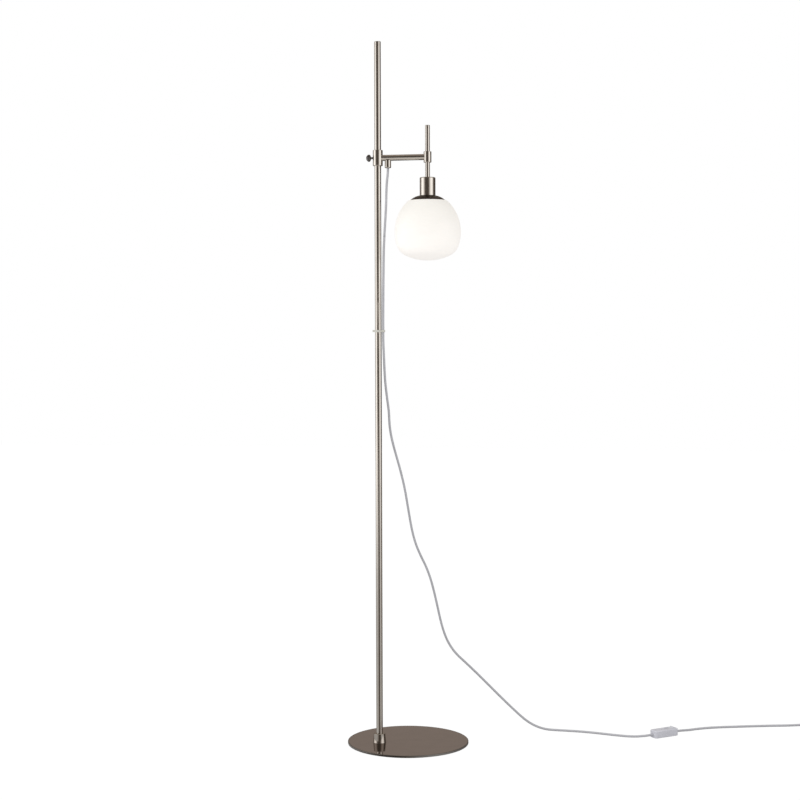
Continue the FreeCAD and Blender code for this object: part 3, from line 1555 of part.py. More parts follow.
def make_plug_pins(face):
    """Two pins, each with a thin root in the plug, an insulating sleeve and a bare end with a round tip."""
    wanted = (given.pin_root_dia, given.pin_sleeve_dia, given.pin_dia)
    root_dia, sleeve_dia, dia = (size.number for size in wanted)
    root_low = face - given.pin_root_long.number + given.fit.number
    sleeve_high = face + given.pin_sleeve_long.number
    bare_high = face + given.pin_long.number - dia / 2
    pins = []
    for side in (-1, 1):
        tip = Part.makeSphere(dia / 2, Vector(side * given.pin_spacing.number / 2, 0, bare_high))
        pin = round_bar(dia, sleeve_high, bare_high, side).fuse(tip)
        pin = pin.fuse(round_bar(sleeve_dia, face + 0.02, sleeve_high, side))
        pins.append(pin.fuse(round_bar(root_dia, root_low, face + 0.02, side)).removeSplitter())
    return Part.makeCompound(pins)


def make_plug_body(face):
    """Six-sided body that narrows to a ribbed strain relief, bored for the lead and the two pins."""
    half_wide, half_thick = given.plug_wide.number / 2, given.plug_thick.number / 2
    tail = given.plug_tail.number
    waist = face - given.plug_long.number * 0.42
    sections = [
        plug_section(half_wide, half_thick, face),
        plug_section(half_wide, half_thick, waist),
        plug_section(half_wide * 0.52, half_thick * 0.86, tail),
    ]
    lead_r = cord_r.number
    body = Part.makeLoft(sections, True, True)
    body = body.fuse(Part.makeCone(lead_r + 1.1, lead_r + 2.6, tail + 1.0))
    ribs, rib_low, rib_pitch, groove, groove_r = 4, 3.0, 4.2, 1.4, lead_r + 0.7
    for rib in range(ribs):
        low = rib_low + rib * rib_pitch
        band = Part.makeCylinder(half_wide, groove, Vector(0, 0, low))
        body = body.cut(band.cut(Part.makeCylinder(groove_r, groove + 0.6, Vector(0, 0, low - 0.3))))
    lead_grip = 7.0
    body = body.cut(Part.makeCylinder(lead_r + 0.02, lead_grip + 1, Vector(0, 0, -1)))
    for side in (-1, 1):
        hole_dia = given.pin_root_dia.number + 0.04
        body = body.cut(round_bar(hole_dia, face - given.pin_root_long.number, face + 2, side))
    return body


def make_plug(end, way):
    """Flat two-pin plug, laid on the floor where the lead ends."""
    face = given.plug_tail.number + given.plug_long.number
    heading = math.degrees(math.atan2(way.y, way.x))
    about_z = Rotation(Vector(0, 0, 1), heading)
    upright = about_z * Rotation(Vector(0, 1, 0), 90) * Rotation(Vector(0, 0, 1), 90)
    seat = Placement(Vector(end.x, end.y, given.plug_thick.number / 2), upright)
    for label, shape in (("plug_body", make_plug_body(face)), ("plug_pins", make_plug_pins(face))):
        item = doc.addObject("Part::Feature", label)
        item.Label = label
        item.Shape = shape
        item.Placement = seat
        keep(item)


def check_and_write():
    """Stops on any failed object or bad shape, then writes one file for each sub-part."""
    doc.recompute()
    for item in doc.Objects:
        if "Invalid" in item.State or "Error" in item.State:
            raise RuntimeError(f"{item.Name} failed: {item.State}")
    os.makedirs("parts", exist_ok=True)
    for piece in sub_parts:
        shape = piece.Shape
        if shape.isNull() or not shape.isValid() or not shape.Solids:
            raise RuntimeError(f"{piece.Label} has a bad shape")
        shape.exportStep(f"parts/{piece.Label}.step")
    print(f"{len(sub_parts)} sub-parts written")


make_foot()
make_pole()
make_clamp()
make_thumb_screw()
make_arm()
make_sleeve()
make_gland()
make_rod()
make_cup()
make_lampholder()
make_cap()
make_globe()
make_bulb()
make_clip()
make_switch()
make_inner_lead()
lead_end, lead_way = make_lead()
make_tie()
make_plug(lead_end, lead_way)
check_and_write()
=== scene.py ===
# %% [markdown]
# # A globe floor lamp
# A slim satin-nickel pole stands on a round foot. An arm slides and swings on it, and a thin rod at the
# arm's end carries a small cup, a dark cap and an opal globe. A pale lead leaves the arm, is clipped to the
# pole, falls to the floor in loose waves, passes a rocker switch and goes on out of the picture.
#
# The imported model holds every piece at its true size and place. This lesson gives those pieces the surfaces
# that a camera sees: turned metal with softened edges, blown glass, moulded plastic and a soft lead.
# Lengths are written in millimetres, as on a drawing, and MM turns them into Blender's metres.

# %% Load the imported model
import math

import bmesh
import bpy
import numpy as np
from mathutils import Matrix, Vector


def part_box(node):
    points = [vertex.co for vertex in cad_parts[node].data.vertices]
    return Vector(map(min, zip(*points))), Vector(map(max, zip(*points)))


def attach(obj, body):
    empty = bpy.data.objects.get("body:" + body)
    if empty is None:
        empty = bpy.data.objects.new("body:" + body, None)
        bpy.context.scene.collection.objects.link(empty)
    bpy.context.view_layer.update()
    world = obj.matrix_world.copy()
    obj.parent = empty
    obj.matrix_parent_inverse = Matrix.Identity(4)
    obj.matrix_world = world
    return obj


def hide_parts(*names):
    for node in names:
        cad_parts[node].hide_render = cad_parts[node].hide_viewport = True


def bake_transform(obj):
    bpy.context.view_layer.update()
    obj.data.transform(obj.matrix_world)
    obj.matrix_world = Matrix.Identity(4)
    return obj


MM = 0.001
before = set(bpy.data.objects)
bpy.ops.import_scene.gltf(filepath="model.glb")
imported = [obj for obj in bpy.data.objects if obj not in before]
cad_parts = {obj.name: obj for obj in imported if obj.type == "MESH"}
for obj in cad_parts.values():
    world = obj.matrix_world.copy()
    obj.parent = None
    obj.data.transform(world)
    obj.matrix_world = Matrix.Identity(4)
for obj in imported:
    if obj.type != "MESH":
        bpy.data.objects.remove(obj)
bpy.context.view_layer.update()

# %% [markdown]
# ## Places that everything is measured from
# Two upright axes carry the lamp: the pole's and the hanging rod's. They are read from the model's own
# boxes, so the metal pieces below follow a changed pole or arm.


# %% Read the axes
def span(node):
    """Lowest and highest corner of a model piece, in millimetres."""
    return np.array([list(corner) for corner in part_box(node)]) / MM


def middle(node):
    """Middle of a model piece's box, in millimetres."""
    return span(node).mean(axis=0)


def height_of(node):
    """Bottom and top of a model piece, in millimetres."""
    return span(node)[:, 2]


def radius_of(node):
    """Half the depth of a round model piece, measured across the arm."""
    return np.ptp(span(node)[:, 1]) / 2


POLE = middle("base_collar")[:2]
ROD = middle("lamp_rod")[:2]
ARM_Z = middle("arm_tube")[2]
GLAND = middle("cord_gland")[:2]
print("pole axis", POLE.round(1), "rod axis", ROD.round(1), "arm height", ARM_Z.round(1))

# %% [markdown]
# ## The camera
# The picture was taken from 3.4 m away with a short telephoto view, at a bit over half the lamp's height,
# looking very slightly down. The arm points ten degrees towards the camera, so the camera's own axes are the
# lamp's axes turned by that angle. A camera could be aimed with a Track To constraint, but its matrix written
# out from three unit vectors shows exactly where right, up and back lie.

# %% Camera
ARM_TURN = math.radians(10)
CAMERA_PITCH = math.radians(2.2447)
CAMERA_ROLL = math.radians(0.1538)
CAMERA_ASIDE, CAMERA_BACK, CAMERA_HEIGHT = 45.7, 3410.4, 875.1

right = Vector((math.cos(ARM_TURN), math.sin(ARM_TURN), 0))
away = Vector((-math.sin(ARM_TURN), math.cos(ARM_TURN), 0))
look = away * math.cos(CAMERA_PITCH) - Vector((0, 0, math.sin(CAMERA_PITCH)))
above = right.cross(look)
camera_x = right * math.cos(CAMERA_ROLL) - above * math.sin(CAMERA_ROLL)
camera_y = right * math.sin(CAMERA_ROLL) + above * math.cos(CAMERA_ROLL)
stand_point = Vector((POLE[0], POLE[1], 0)) + right * CAMERA_ASIDE - away * CAMERA_BACK
stand_point.z = CAMERA_HEIGHT

camera_data = bpy.data.cameras.new("camera")
camera_data.lens = 72
camera_data.sensor_width = 36
camera = bpy.data.objects.new("camera", camera_data)
bpy.context.collection.objects.link(camera)
camera.matrix_world = Matrix.Translation(stand_point * MM) @ Matrix(
    (camera_x, camera_y, -look)
).transposed().to_4x4()
bpy.context.scene.camera = camera
print("camera at", [round(value, 3) for value in stand_point * MM])

# %% [markdown]
# ## Shader maths as plain expressions
# A material is a graph of nodes. Building it by hand needs many clicks, and building it in code needs many
# links. Here one small class stands for a socket: adding, subtracting or multiplying two of them adds the
# Math node that does it, so a mask reads like a formula. Every other node comes from one method of the graph.


# %% Sockets as numbers
class Flow:
    """An output socket; arithmetic on it adds Math nodes to its graph."""

    def __init__(self, graph, socket):
        self.graph = graph
        self.socket = socket

    def maths(self, operation, first, second=0.0):
        """One Math node."""
        return self.graph.node("ShaderNodeMath", {"operation": operation}, {0: first, 1: second})

    def __add__(self, other):
        return self.maths("ADD", self, other)

    def __radd__(self, other):
        return self.maths("ADD", other, self)

    def __sub__(self, other):
        return self.maths("SUBTRACT", self, other)

    def __rsub__(self, other):
        return self.maths("SUBTRACT", other, self)

    def __mul__(self, other):
        return self.maths("MULTIPLY", self, other)

    def __rmul__(self, other):
        return self.maths("MULTIPLY", other, self)

    def clipped(self):
        """The value kept between 0 and 1."""
        return self.graph.node("ShaderNodeClamp", {}, {"Value": self})

    def ramp(self, low, high):
        """0 below low, 1 above high and a smooth step between."""
        return self.graph.node(
            "ShaderNodeMapRange",
            {"interpolation_type": "SMOOTHSTEP"},
            {"Value": self, "From Min": low, "From Max": high},
        )


class Graph:
    """A node tree that is filled by code."""

    def __init__(self, tree):
        self.tree = tree
        tree.nodes.clear()

    def node(self, kind, settings, sockets, output=0):
        """Adds a node, makes its settings, then fills its sockets with values or links."""
        made = self.tree.nodes.new(kind)
        for name, value in settings.items():
            setattr(made, name, value)
        for key, value in sockets.items():
            if isinstance(value, Flow):
                self.tree.links.new(value.socket, made.inputs[key])
            else:
                made.inputs[key].default_value = value
        return Flow(self, made.outputs[output]) if made.outputs else None

    def also(self, flow, output):
        """Another output of the node that a flow comes from."""
        return Flow(self, flow.socket.node.outputs[output])

    def vector(self, operation, first, second, output="Value"):
        """One Vector Math node."""
        return self.node("ShaderNodeVectorMath", {"operation": operation}, {0: first, 1: second}, output)

    def bearing(self, to_right, to_away):
        """Degrees from the way to the camera, positive to the right, of a flat direction."""
        return to_right.maths("ARCTAN2", to_right, -1 * to_away) * (180 / math.pi)

    def place(self, scale=(1, 1, 1)):
        """Object coordinates in metres, scaled along each axis."""
        where = self.node("ShaderNodeTexCoord", {}, {}, "Object")
        return self.node("ShaderNodeMapping", {}, {"Vector": where, "Scale": scale})

    def noise(self, where, scale=1.0, detail=2.0, roughness=0.5):
        """Smooth noise around 0.5."""
        return self.node(
            "ShaderNodeTexNoise",
            {},
            {"Vector": where, "Scale": scale, "Detail": detail, "Roughness": roughness},
        )

    def mix(self, share, first, second):
        """A colour between two colours."""
        return self.node(
            "ShaderNodeMix", {"data_type": "RGBA"}, {"Factor": share, "A": first, "B": second}, "Result"
        )

    def bump(self, height, depth):
        """A bumped normal; depth is the real depth in metres of a full step of height."""
        return self.node("ShaderNodeBump", {}, {"Height": height, "Distance": depth}, "Normal")

    def surface(self, sockets):
        """The Principled shader with the given sockets, joined to the output."""
        shader = self.node("ShaderNodeBsdfPrincipled", {}, sockets)
        self.node("ShaderNodeOutputMaterial", {}, {"Surface": shader})


def paint(red, green, blue):
    """A colour read off a screen, 0 to 255, as the linear colour that shaders work in."""
    share = np.array([red, green, blue]) / 255
    linear = np.where(share <= 0.04045, share / 12.92, ((share + 0.055) / 1.055) ** 2.4)
    return (*linear.tolist(), 1.0)


finishes = {}


def finish(name):
    """A new material with an empty graph."""
    material = bpy.data.materials.new(name)
    material.use_nodes = True
    finishes[name] = material
    return Graph(material.node_tree)


# %% [markdown]
# ## The studio
# The lamp was photographed against pure white. On bright metal the room shows too: two tall windows, one
# left and one right of the camera, make the two pale stripes down every tube, and the dark room in front and
# behind makes the bands between them. The world shader draws that room for reflections only, from the
# direction in which a ray leaves. The camera sees plain white, and soft even light reaches matt surfaces.
#
# A window is four bearings in degrees, from the camera's side and positive to the right: where it starts, is
# full, fades and stops. It is brightest low down, and above it the walls take over.

# %% World
WARM_WALL, WHITE = (1, 0.85, 0.73, 1), (1, 1, 1, 1)
LEFT_WINDOW, LEFT_GLARE = (-136, -90, -79, -32), 1.7
RIGHT_WINDOW, RIGHT_GLARE = (8, 54, 66, 98), 1.5
WINDOW_DIMS, WINDOW_LOSS = (6, 20), 0.75
WALL_GLARE, BACK_WALL_GLARE, CEILING_GLARE = 0.09, 0.20, 0.16
BACK_WALL, BACK_WALL_CLIMB, CEILING_CLIMB = (115, 140), (4, 13), (38, 62)
SOFT_FILL, FILL_TILT = 0.66, 0.12
world = bpy.data.worlds.new("studio")
world.use_nodes = True
bpy.context.scene.world = world
studio = Graph(world.node_tree)

ray = studio.node("ShaderNodeTexCoord", {}, {}, "Generated")
ray_right = studio.vector("DOT_PRODUCT", ray, right)
ray_away = studio.vector("DOT_PRODUCT", ray, away)
ray_up = studio.node("ShaderNodeSeparateXYZ", {}, {0: ray}, "Z")
bearing = studio.bearing(ray_right, ray_away)
climb = ray_up.maths("ARCSINE", ray_up) * (180 / math.pi)


def pane(direction, start, full, fade, stop):
    """Share of a window in a direction, from the four bearings of its edges."""
    return direction.ramp(start, full) * (1 - direction.ramp(fade, stop))


low_enough = 1 - climb.ramp(*WINDOW_DIMS) * WINDOW_LOSS
windows = (pane(bearing, *LEFT_WINDOW) * LEFT_GLARE + pane(bearing, *RIGHT_WINDOW) * RIGHT_GLARE) * low_enough
back_wall = bearing.maths("ABSOLUTE", bearing).ramp(*BACK_WALL) * climb.ramp(*BACK_WALL_CLIMB)
walls = WALL_GLARE + back_wall * BACK_WALL_GLARE + climb.ramp(*CEILING_CLIMB) * CEILING_GLARE
rays = studio.node("ShaderNodeLightPath", {}, {}, "Is Camera Ray")
glossy = studio.also(rays, "Is Glossy Ray")
seen = (rays + studio.also(rays, "Is Transmission Ray")).clipped()
soft_fill = SOFT_FILL - FILL_TILT * ray_right
brightness = seen + (1 - seen) * (glossy * (walls + windows) + (1 - glossy) * soft_fill)
warmth = studio.mix(glossy * (1 - windows.ramp(0.0, 0.8)), WHITE, WARM_WALL)
backdrop = studio.node("ShaderNodeBackground", {}, {"Color": warmth, "Strength": brightness})
studio.node("ShaderNodeOutputWorld", {}, {"Surface": backdrop})
print("world nodes:", len(world.node_tree.nodes))


# %% Soft boxes
LIGHT_TARGET = Vector((0.05, 0.0, 0.8))


def soft_light(name, bearing_deg, distance, height, size, power):
    """A square area lamp at a bearing from the camera's direction, aimed at the lamp's middle."""
    data = bpy.data.lights.new(name, "AREA")
    data.shape = "SQUARE"
    data.size = size
    data.energy = power
    lamp = bpy.data.objects.new(name, data)
    bpy.context.collection.objects.link(lamp)
    turn = math.radians(bearing_deg)
    lamp.location = LIGHT_TARGET + (right * math.sin(turn) - away * math.cos(turn)) * distance
    lamp.location.z = height
    lamp.rotation_euler = (LIGHT_TARGET - lamp.location).to_track_quat("-Z", "Y").to_euler()
    lamp.visible_glossy = False


soft_light("left_box", bearing_deg=-62, distance=2.6, height=1.9, size=1.4, power=22)
soft_light("right_box", bearing_deg=50, distance=2.8, height=1.6, size=1.4, power=12)

# %% [markdown]
# ## What is under the lamp
# A ray that leaves the metal downwards meets the floor instead, so the floor answers glossy rays with two
# windows of its own, softer and wider, and a weak shine at the back, by the bearing from the pole. The camera
# sees it plain white, with the lamp's soft shadow. The arm is level and its underside would see only that
# floor: a pale card, which only reflections see, gives it its light stripe, as a photographer's card does.


# %% Card
def flat_square(name, centre, half_x, half_y):
    """A square of the studio from its centre and two half sides, all vectors in metres."""
    mesh = bpy.data.meshes.new(name)
    corners = [centre + half_x * x + half_y * y for x, y in ((-1, -1), (1, -1), (1, 1), (-1, 1))]
    mesh.from_pydata(corners, [], [(0, 1, 2, 3)])
    sheet = bpy.data.objects.new(name, mesh)
    bpy.context.collection.objects.link(sheet)
    return sheet


CARD_WIDE, CARD_DEEP, CARD_DROP, CARD_NEAR, CARD_GLOW = 0.45, 0.62, 0.30, 0.07, 0.75
card_middle = Vector((*((POLE + ROD) / 2 * MM), ARM_Z * MM - CARD_DROP)) - away * (CARD_NEAR + CARD_DEEP)
card = flat_square("arm_card", card_middle, right * CARD_WIDE, away * CARD_DEEP)
card.visible_camera = card.visible_diffuse = card.visible_shadow = card.visible_transmission = False
card_paper = finish("lit_card")
card_glow = card_paper.node("ShaderNodeEmission", {}, {"Color": (1, 0.97, 0.93, 1), "Strength": CARD_GLOW})
card_paper.node("ShaderNodeOutputMaterial", {}, {"Surface": card_glow})
card.data.materials.append(finishes["lit_card"])

# %% Floor
FLOOR_HALF = 9.0
FLOOR_LEFT, FLOOR_RIGHT, FLOOR_BACK = (-160, -110, -52, 2), (12, 46, 56, 96), (60, 95, 120, 170)
FLOOR_DARK, FLOOR_BACK_SHINE = 0.07, 0.15
LEFT_NEAR, LEFT_FAR, RIGHT_NEAR, RIGHT_FAR = 0.52, 0.85, 0.60, 0.45
NEAR_FOOT, FAR_FROM_FOOT = 1.2, 6.5
FLOOR_GREY, FLOOR_FILL, WHITE_SHARE = (0.6, 0.6, 0.6, 1), 1.1, 0.88
floor = flat_square("floor", Vector(), Vector((FLOOR_HALF, 0, 0)), Vector((0, FLOOR_HALF, 0)))
paper = finish("white_paper")
spot = paper.node("ShaderNodeTexCoord", {}, {}, "Object")
from_pole = paper.vector("SUBTRACT", spot, (*(POLE * MM), 0), "Vector")
floor_right, floor_away = (paper.vector("DOT_PRODUCT", from_pole, way) for way in (right, away))
floor_bearing = paper.bearing(floor_right, floor_away)
from_foot = paper.node("ShaderNodeVectorMath", {"operation": "LENGTH"}, {0: from_pole}, "Value")
from_foot = from_foot.ramp(NEAR_FOOT, FAR_FROM_FOOT)
left_shine = pane(floor_bearing, *FLOOR_LEFT) * (LEFT_NEAR + from_foot * LEFT_FAR)
right_shine = pane(floor_bearing, *FLOOR_RIGHT) * (RIGHT_NEAR + from_foot * RIGHT_FAR)
mirrored = FLOOR_DARK + left_shine + right_shine + pane(floor_bearing, *FLOOR_BACK) * FLOOR_BACK_SHINE
path = paper.node("ShaderNodeLightPath", {}, {}, "Is Camera Ray")
floor_glossy = paper.also(path, "Is Glossy Ray")
floor_warmth = paper.mix(floor_glossy * (1 - mirrored.ramp(0.05, 0.6)), WHITE, WARM_WALL)
matt = paper.node("ShaderNodeBsdfDiffuse", {}, {"Color": FLOOR_GREY})
floor_shine = (1 - floor_glossy) * FLOOR_FILL + floor_glossy * mirrored
glow = paper.node("ShaderNodeEmission", {}, {"Color": floor_warmth, "Strength": floor_shine})
direct = (path + paper.also(path, "Is Transmission Ray")).clipped() * WHITE_SHARE + floor_glossy
paper_mix = paper.node("ShaderNodeMixShader", {}, {0: direct, 1: matt, 2: glow})
paper.node("ShaderNodeOutputMaterial", {}, {"Surface": paper_mix})
floor.data.materials.append(finishes["white_paper"])

bpy.context.scene.view_settings.view_transform = "Standard"

# %% [markdown]
# ## The lead's route
# The lead is one length of round flex. It could be drawn as a chain of bent pipes, but flex has no corners:
# its bend changes all the time. A NURBS curve does that, since it is only pulled towards its control points
# and never turns sharply. The points below are the lead's route: out of the gland, down beside the pole to
# the clip, in slow waves to the floor, through the switch and out of the picture to a neat coil.

# %% Route
CORD = 5.0
NECK_ROUTE = (
    (-36.4, -24.1, 1233.6),
    (-36.6, -24.1, 1222.0),
    (-38.6, -24.1, 1207.0),
    (-40.0, -24.0, 1186.0),
    (-40.4, -24.1, 1160.0),
    (-41.6, -24.2, 1136.0),
    (-43.2, -24.1, 1112.0),
    (-44.6, -24.1, 1088.0),
)
RISER_ROUTE = (
    (-44.6, -24.1, 1088.0),
    (-46.0, -24.1, 1064.0),
    (-46.5, -24.2, 1028.0),
    (-47.1, -24.0, 990.0),
    (-47.4, -24.1, 950.0),
    (-47.7, -24.1, 915.0),
    (-47.7, -24.1, 886.3),
)
DROP_ROUTE = (
    (-47.7, -24.1, 886.3),
    (-47.7, -24.0, 868.0),
    (-46.9, -22.9, 843.0),
    (-45.9, -21.2, 810.0),
    (-44.6, -18.4, 777.0),
    (-41.2, -15.1, 744.0),
    (-37.9, -12.4, 716.0),
    (-37.3, -10.6, 688.0),
    (-33.9, -8.0, 662.0),
    (-27.0, -4.0, 632.0),
    (-17.2, 1.4, 595.0),
    (-7.6, 7.2, 552.0),
    (-1.2, 13.4, 506.0),
    (4.6, 20.3, 464.0),
    (11.4, 26.4, 432.0),
    (21.6, 33.0, 404.0),
    (33.6, 38.9, 378.0),
    (42.6, 44.5, 351.0),
    (49.3, 49.9, 322.0),
    (55.3, 56.0, 291.0),
    (60.6, 62.0, 261.0),
    (67.2, 68.3, 232.0),
    (77.0, 75.0, 205.0),
    (92.3, 82.0, 181.0),
    (113.5, 89.8, 160.0),
    (137.5, 98.6, 135.0),
    (164.1, 108.5, 106.0),
    (191.8, 118.5, 76.0),
    (217.4, 128.6, 49.0),
    (238.0, 137.5, 28.0),
    (258.5, 145.3, 13.0),
    (281.9, 151.8, 4.0),
    (305.4, 153.9, 2.5),
    (333.6, 152.2, 2.5),
    (365.6, 149.2, 2.5),
    (395.5, 142.4, 2.5),
    (426.4, 133.2, 2.5),
    (457.8, 124.8, 2.5),
    (482.4, 119.6, 3.6),
    (502.0, 119.6, 5.9),
    (511.8, 123.3, 6.8),
    (519.3, 129.7, 6.8),
)
TAIL_ROUTE = (
    (567.9, 168.3, 6.8),
    (575.4, 174.3, 6.8),
    (586.6, 187.2, 5.0),
    (598.6, 201.6, 2.8),
    (615.0, 215.6, 2.5),
    (640.0, 229.6, 2.5),
    (669.0, 240.8, 2.5),
    (703.4, 250.8, 2.5),
    (742.5, 262.4, 2.5),
    (782.8, 273.0, 2.5),
    (816.0, 280.2, 2.5),
    (845.6, 288.2, 3.0),
    (868.0, 297.2, 3.5),
)

# %% [markdown]
# ## The put-away coil
# What the picture doesn't show lies in a neat coil just outside it. A coil wound by hand starts at the
# outside, works inwards on the floor, climbs once and works outwards again on top. As a formula, the radius
# falls steadily with the turn, nearly holds for half a turn while the height rises, and grows again.

# %% Coil
COIL_MIDDLE = np.array([900.8, 267.3])
COIL_RADIUS, COIL_PITCH, COIL_LOW = 27.5, 5.6, 3.5
TURNS_IN, TURNS_CLIMB, TURNS_OUT, CLIMB_DIP = 2.75, 0.5, 3.0, 1.8
COIL_TURNS = TURNS_IN + TURNS_CLIMB + TURNS_OUT
COIL_START = math.radians(100)
POINTS_PER_TURN = 16


def coil_line(turn):
    """Points of the coil in millimetres, for an array of turns from its start."""
    outer = COIL_RADIUS + COIL_PITCH * TURNS_IN / 2
    inner = outer - COIL_PITCH * TURNS_IN
    share = np.clip((turn - TURNS_IN) / TURNS_CLIMB, 0, 1)
    going_out = np.maximum(turn - TURNS_IN - TURNS_CLIMB, 0)
    radius = np.maximum(outer - COIL_PITCH * turn, inner) + COIL_PITCH * going_out
    radius = radius - CLIMB_DIP * np.sin(math.pi * share) ** 2
    height = COIL_LOW + COIL_PITCH * share * share * (3 - 2 * share)
    angle = COIL_START - 2 * math.pi * turn
    flat = COIL_MIDDLE + np.stack([np.cos(angle), np.sin(angle)], axis=-1) * radius[:, None]
    return np.column_stack([flat, height])


coil_turns = np.linspace(0, COIL_TURNS, round(COIL_TURNS * POINTS_PER_TURN) + 1)
coil_points = coil_line(coil_turns)
coil_last = coil_points[-1]
# the way the coil points at its end, measured on a very short step of its own formula
step_back = coil_line(np.array([COIL_TURNS - 0.002, COIL_TURNS]))
leave = (step_back[1] - step_back[0]) / np.linalg.norm(step_back[1] - step_back[0])
PLUG_Z = middle("plug_body")[2]
LEAD_OUT = 26.0
plug_seat = np.append((coil_last + leave * (LEAD_OUT + CORD))[:2], PLUG_Z)
lead_out = [
    coil_last + leave * LEAD_OUT * 0.4,
    np.append((coil_last + leave * LEAD_OUT * 0.75)[:2], PLUG_Z),
    plug_seat,
]
tail_points = np.vstack([TAIL_ROUTE, coil_points, lead_out])
print("coil points:", len(coil_points), "plug seat:", plug_seat.round(1))


# %% Curves and tubes
def nurbs(name, points, thickness=0.0):
    """A smooth curve pulled towards control points in millimetres; thickness is the round lead's diameter."""
    data = bpy.data.curves.new(name, "CURVE")
    data.dimensions = "3D"
    data.resolution_u = 6
    spline = data.splines.new("NURBS")
    spline.points.add(len(points) - 1)
    spots = np.column_stack([np.asarray(points) * MM, np.ones(len(points))])
    spline.points.foreach_set("co", spots.ravel())
    spline.order_u = 3
    spline.use_endpoint_u = True
    data.bevel_depth = thickness * MM / 2
    data.bevel_resolution = 5
    data.use_fill_caps = True
    curve = bpy.data.objects.new(name, data)
    bpy.context.collection.objects.link(curve)
    return curve


def line_of(name, points):
    """Points along the smooth curve through a route, in millimetres, read from the curve itself."""
    curve = nurbs(name + "_guide", points)
    bpy.context.view_layer.update()
    mesh = bpy.data.meshes.new_from_object(curve.evaluated_get(bpy.context.evaluated_depsgraph_get()))
    flat = np.empty(len(mesh.vertices) * 3)
    mesh.vertices.foreach_get("co", flat)
    bpy.data.meshes.remove(mesh)
    bpy.data.objects.remove(curve)
    return flat.reshape(-1, 3) / MM


# %% [markdown]
# ## Surfaces from arrays
# Nearly every piece here was made on a lathe, so one function does most of the work: it turns an outline of
# radius and height about an upright axis. Blender's Spin or Screw would do it too, but as arrays the whole
# surface is one formula: x = r cos a, y = r sin a, z = z. A second function softens the outline's corners,
# because real metal has no knife edges and it is the softened edge that catches the light.


# %% Grid to mesh
def skin(name, grid, close_rows=False):
    """A mesh over a grid of points (rows, columns, xyz) in millimetres, whose last column joins the first.

    The last row joins the first too, or both get a flat lid. A row whose points all meet becomes one point.
    """
    rows, columns = grid.shape[:2]
    index = np.arange(rows * columns).reshape(rows, columns)
    lower = index if close_rows else index[:-1]
    upper = np.roll(index, -1, axis=0) if close_rows else index[1:]
    quads = np.stack([lower, np.roll(lower, -1, axis=1), np.roll(upper, -1, axis=1), upper], axis=-1)
    faces = quads.reshape(-1, 4).tolist()
    if not close_rows:
        faces.append(index[0][::-1].tolist())
        faces.append(index[-1].tolist())
    mesh = bpy.data.meshes.new(name)
    mesh.from_pydata((grid.reshape(-1, 3) * MM).tolist(), [], faces)
    clean(mesh)
    piece = bpy.data.objects.new(name, mesh)
    bpy.context.collection.objects.link(piece)
    return piece


def clean(mesh):
    """Joins points that lie on each other, drops empty faces, points every face outwards, shades smooth."""
    build = bmesh.new()
    build.from_mesh(mesh)
    bmesh.ops.remove_doubles(build, verts=build.verts, dist=2e-6)
    bmesh.ops.dissolve_degenerate(build, dist=1e-7, edges=build.edges)
    bmesh.ops.recalc_face_normals(build, faces=build.faces)
    build.to_mesh(mesh)
    build.free()
    mesh.shade_smooth()


def soften(outline, radii, steps=5, hold=0.25):
    """Rounds a closed outline's corners with arcs, with one extra point outside each end of an arc.

    With the half angle h of a corner, the arc's centre lies radius / sin h along the bisector and its ends
    lie radius / tan h along the two sides. The extra points keep long straight sides flat in the shading.
    """
    corner = np.asarray(outline, float)
    radius = np.broadcast_to(np.asarray(radii, float), len(corner))[:, None]
    back = np.roll(corner, 1, axis=0) - corner
    ahead = np.roll(corner, -1, axis=0) - corner
    back_run = np.linalg.norm(back, axis=1, keepdims=True)
    ahead_run = np.linalg.norm(ahead, axis=1, keepdims=True)
    back, ahead = back / back_run, ahead / ahead_run
    half = np.arccos(np.clip((back * ahead).sum(axis=1, keepdims=True), -1, 1)) / 2
    reach = np.minimum(radius / np.tan(half), 0.46 * np.minimum(back_run, ahead_run))
    bisector = back + ahead
    length = np.linalg.norm(bisector, axis=1, keepdims=True)
    bisector = np.where(length > 1e-6, bisector / np.maximum(length, 1e-6), 0)
    centre = corner + bisector * reach / np.maximum(np.cos(half), 1e-6)
    begin, end = corner + back * reach, corner + ahead * reach
    turn = np.maximum(math.pi - 2 * half, 1e-4)[:, None, :]
    share = np.linspace(0, 1, steps)[None, :, None]
    from_begin = np.sin((1 - share) * turn) * (begin - centre)[:, None, :]
    from_end = np.sin(share * turn) * (end - centre)[:, None, :]
    arc = centre[:, None, :] + (from_begin + from_end) / np.sin(turn)
    slack = np.minimum(hold, 0.3 * np.minimum(back_run, ahead_run) - 0.3 * reach).clip(0.001)
    before = (begin + back * slack)[:, None, :]
    after = (end + ahead * slack)[:, None, :]
    return np.concatenate([before, arc, after], axis=1).reshape(-1, 2)


def lathe(name, outline, axis, segments=96):
    """Turns a closed outline of (radius, height) about an upright axis at a point of the floor plan."""
    angle = np.linspace(0, 2 * math.pi, segments, endpoint=False)
    radius, height = np.maximum(outline[:, 0], 0)[:, None], outline[:, 1][:, None]
    grid = np.stack(
        [axis[0] + radius * np.cos(angle), axis[1] + radius * np.sin(angle), height + 0 * angle], axis=-1
    )
    return skin(name, grid, close_rows=True)


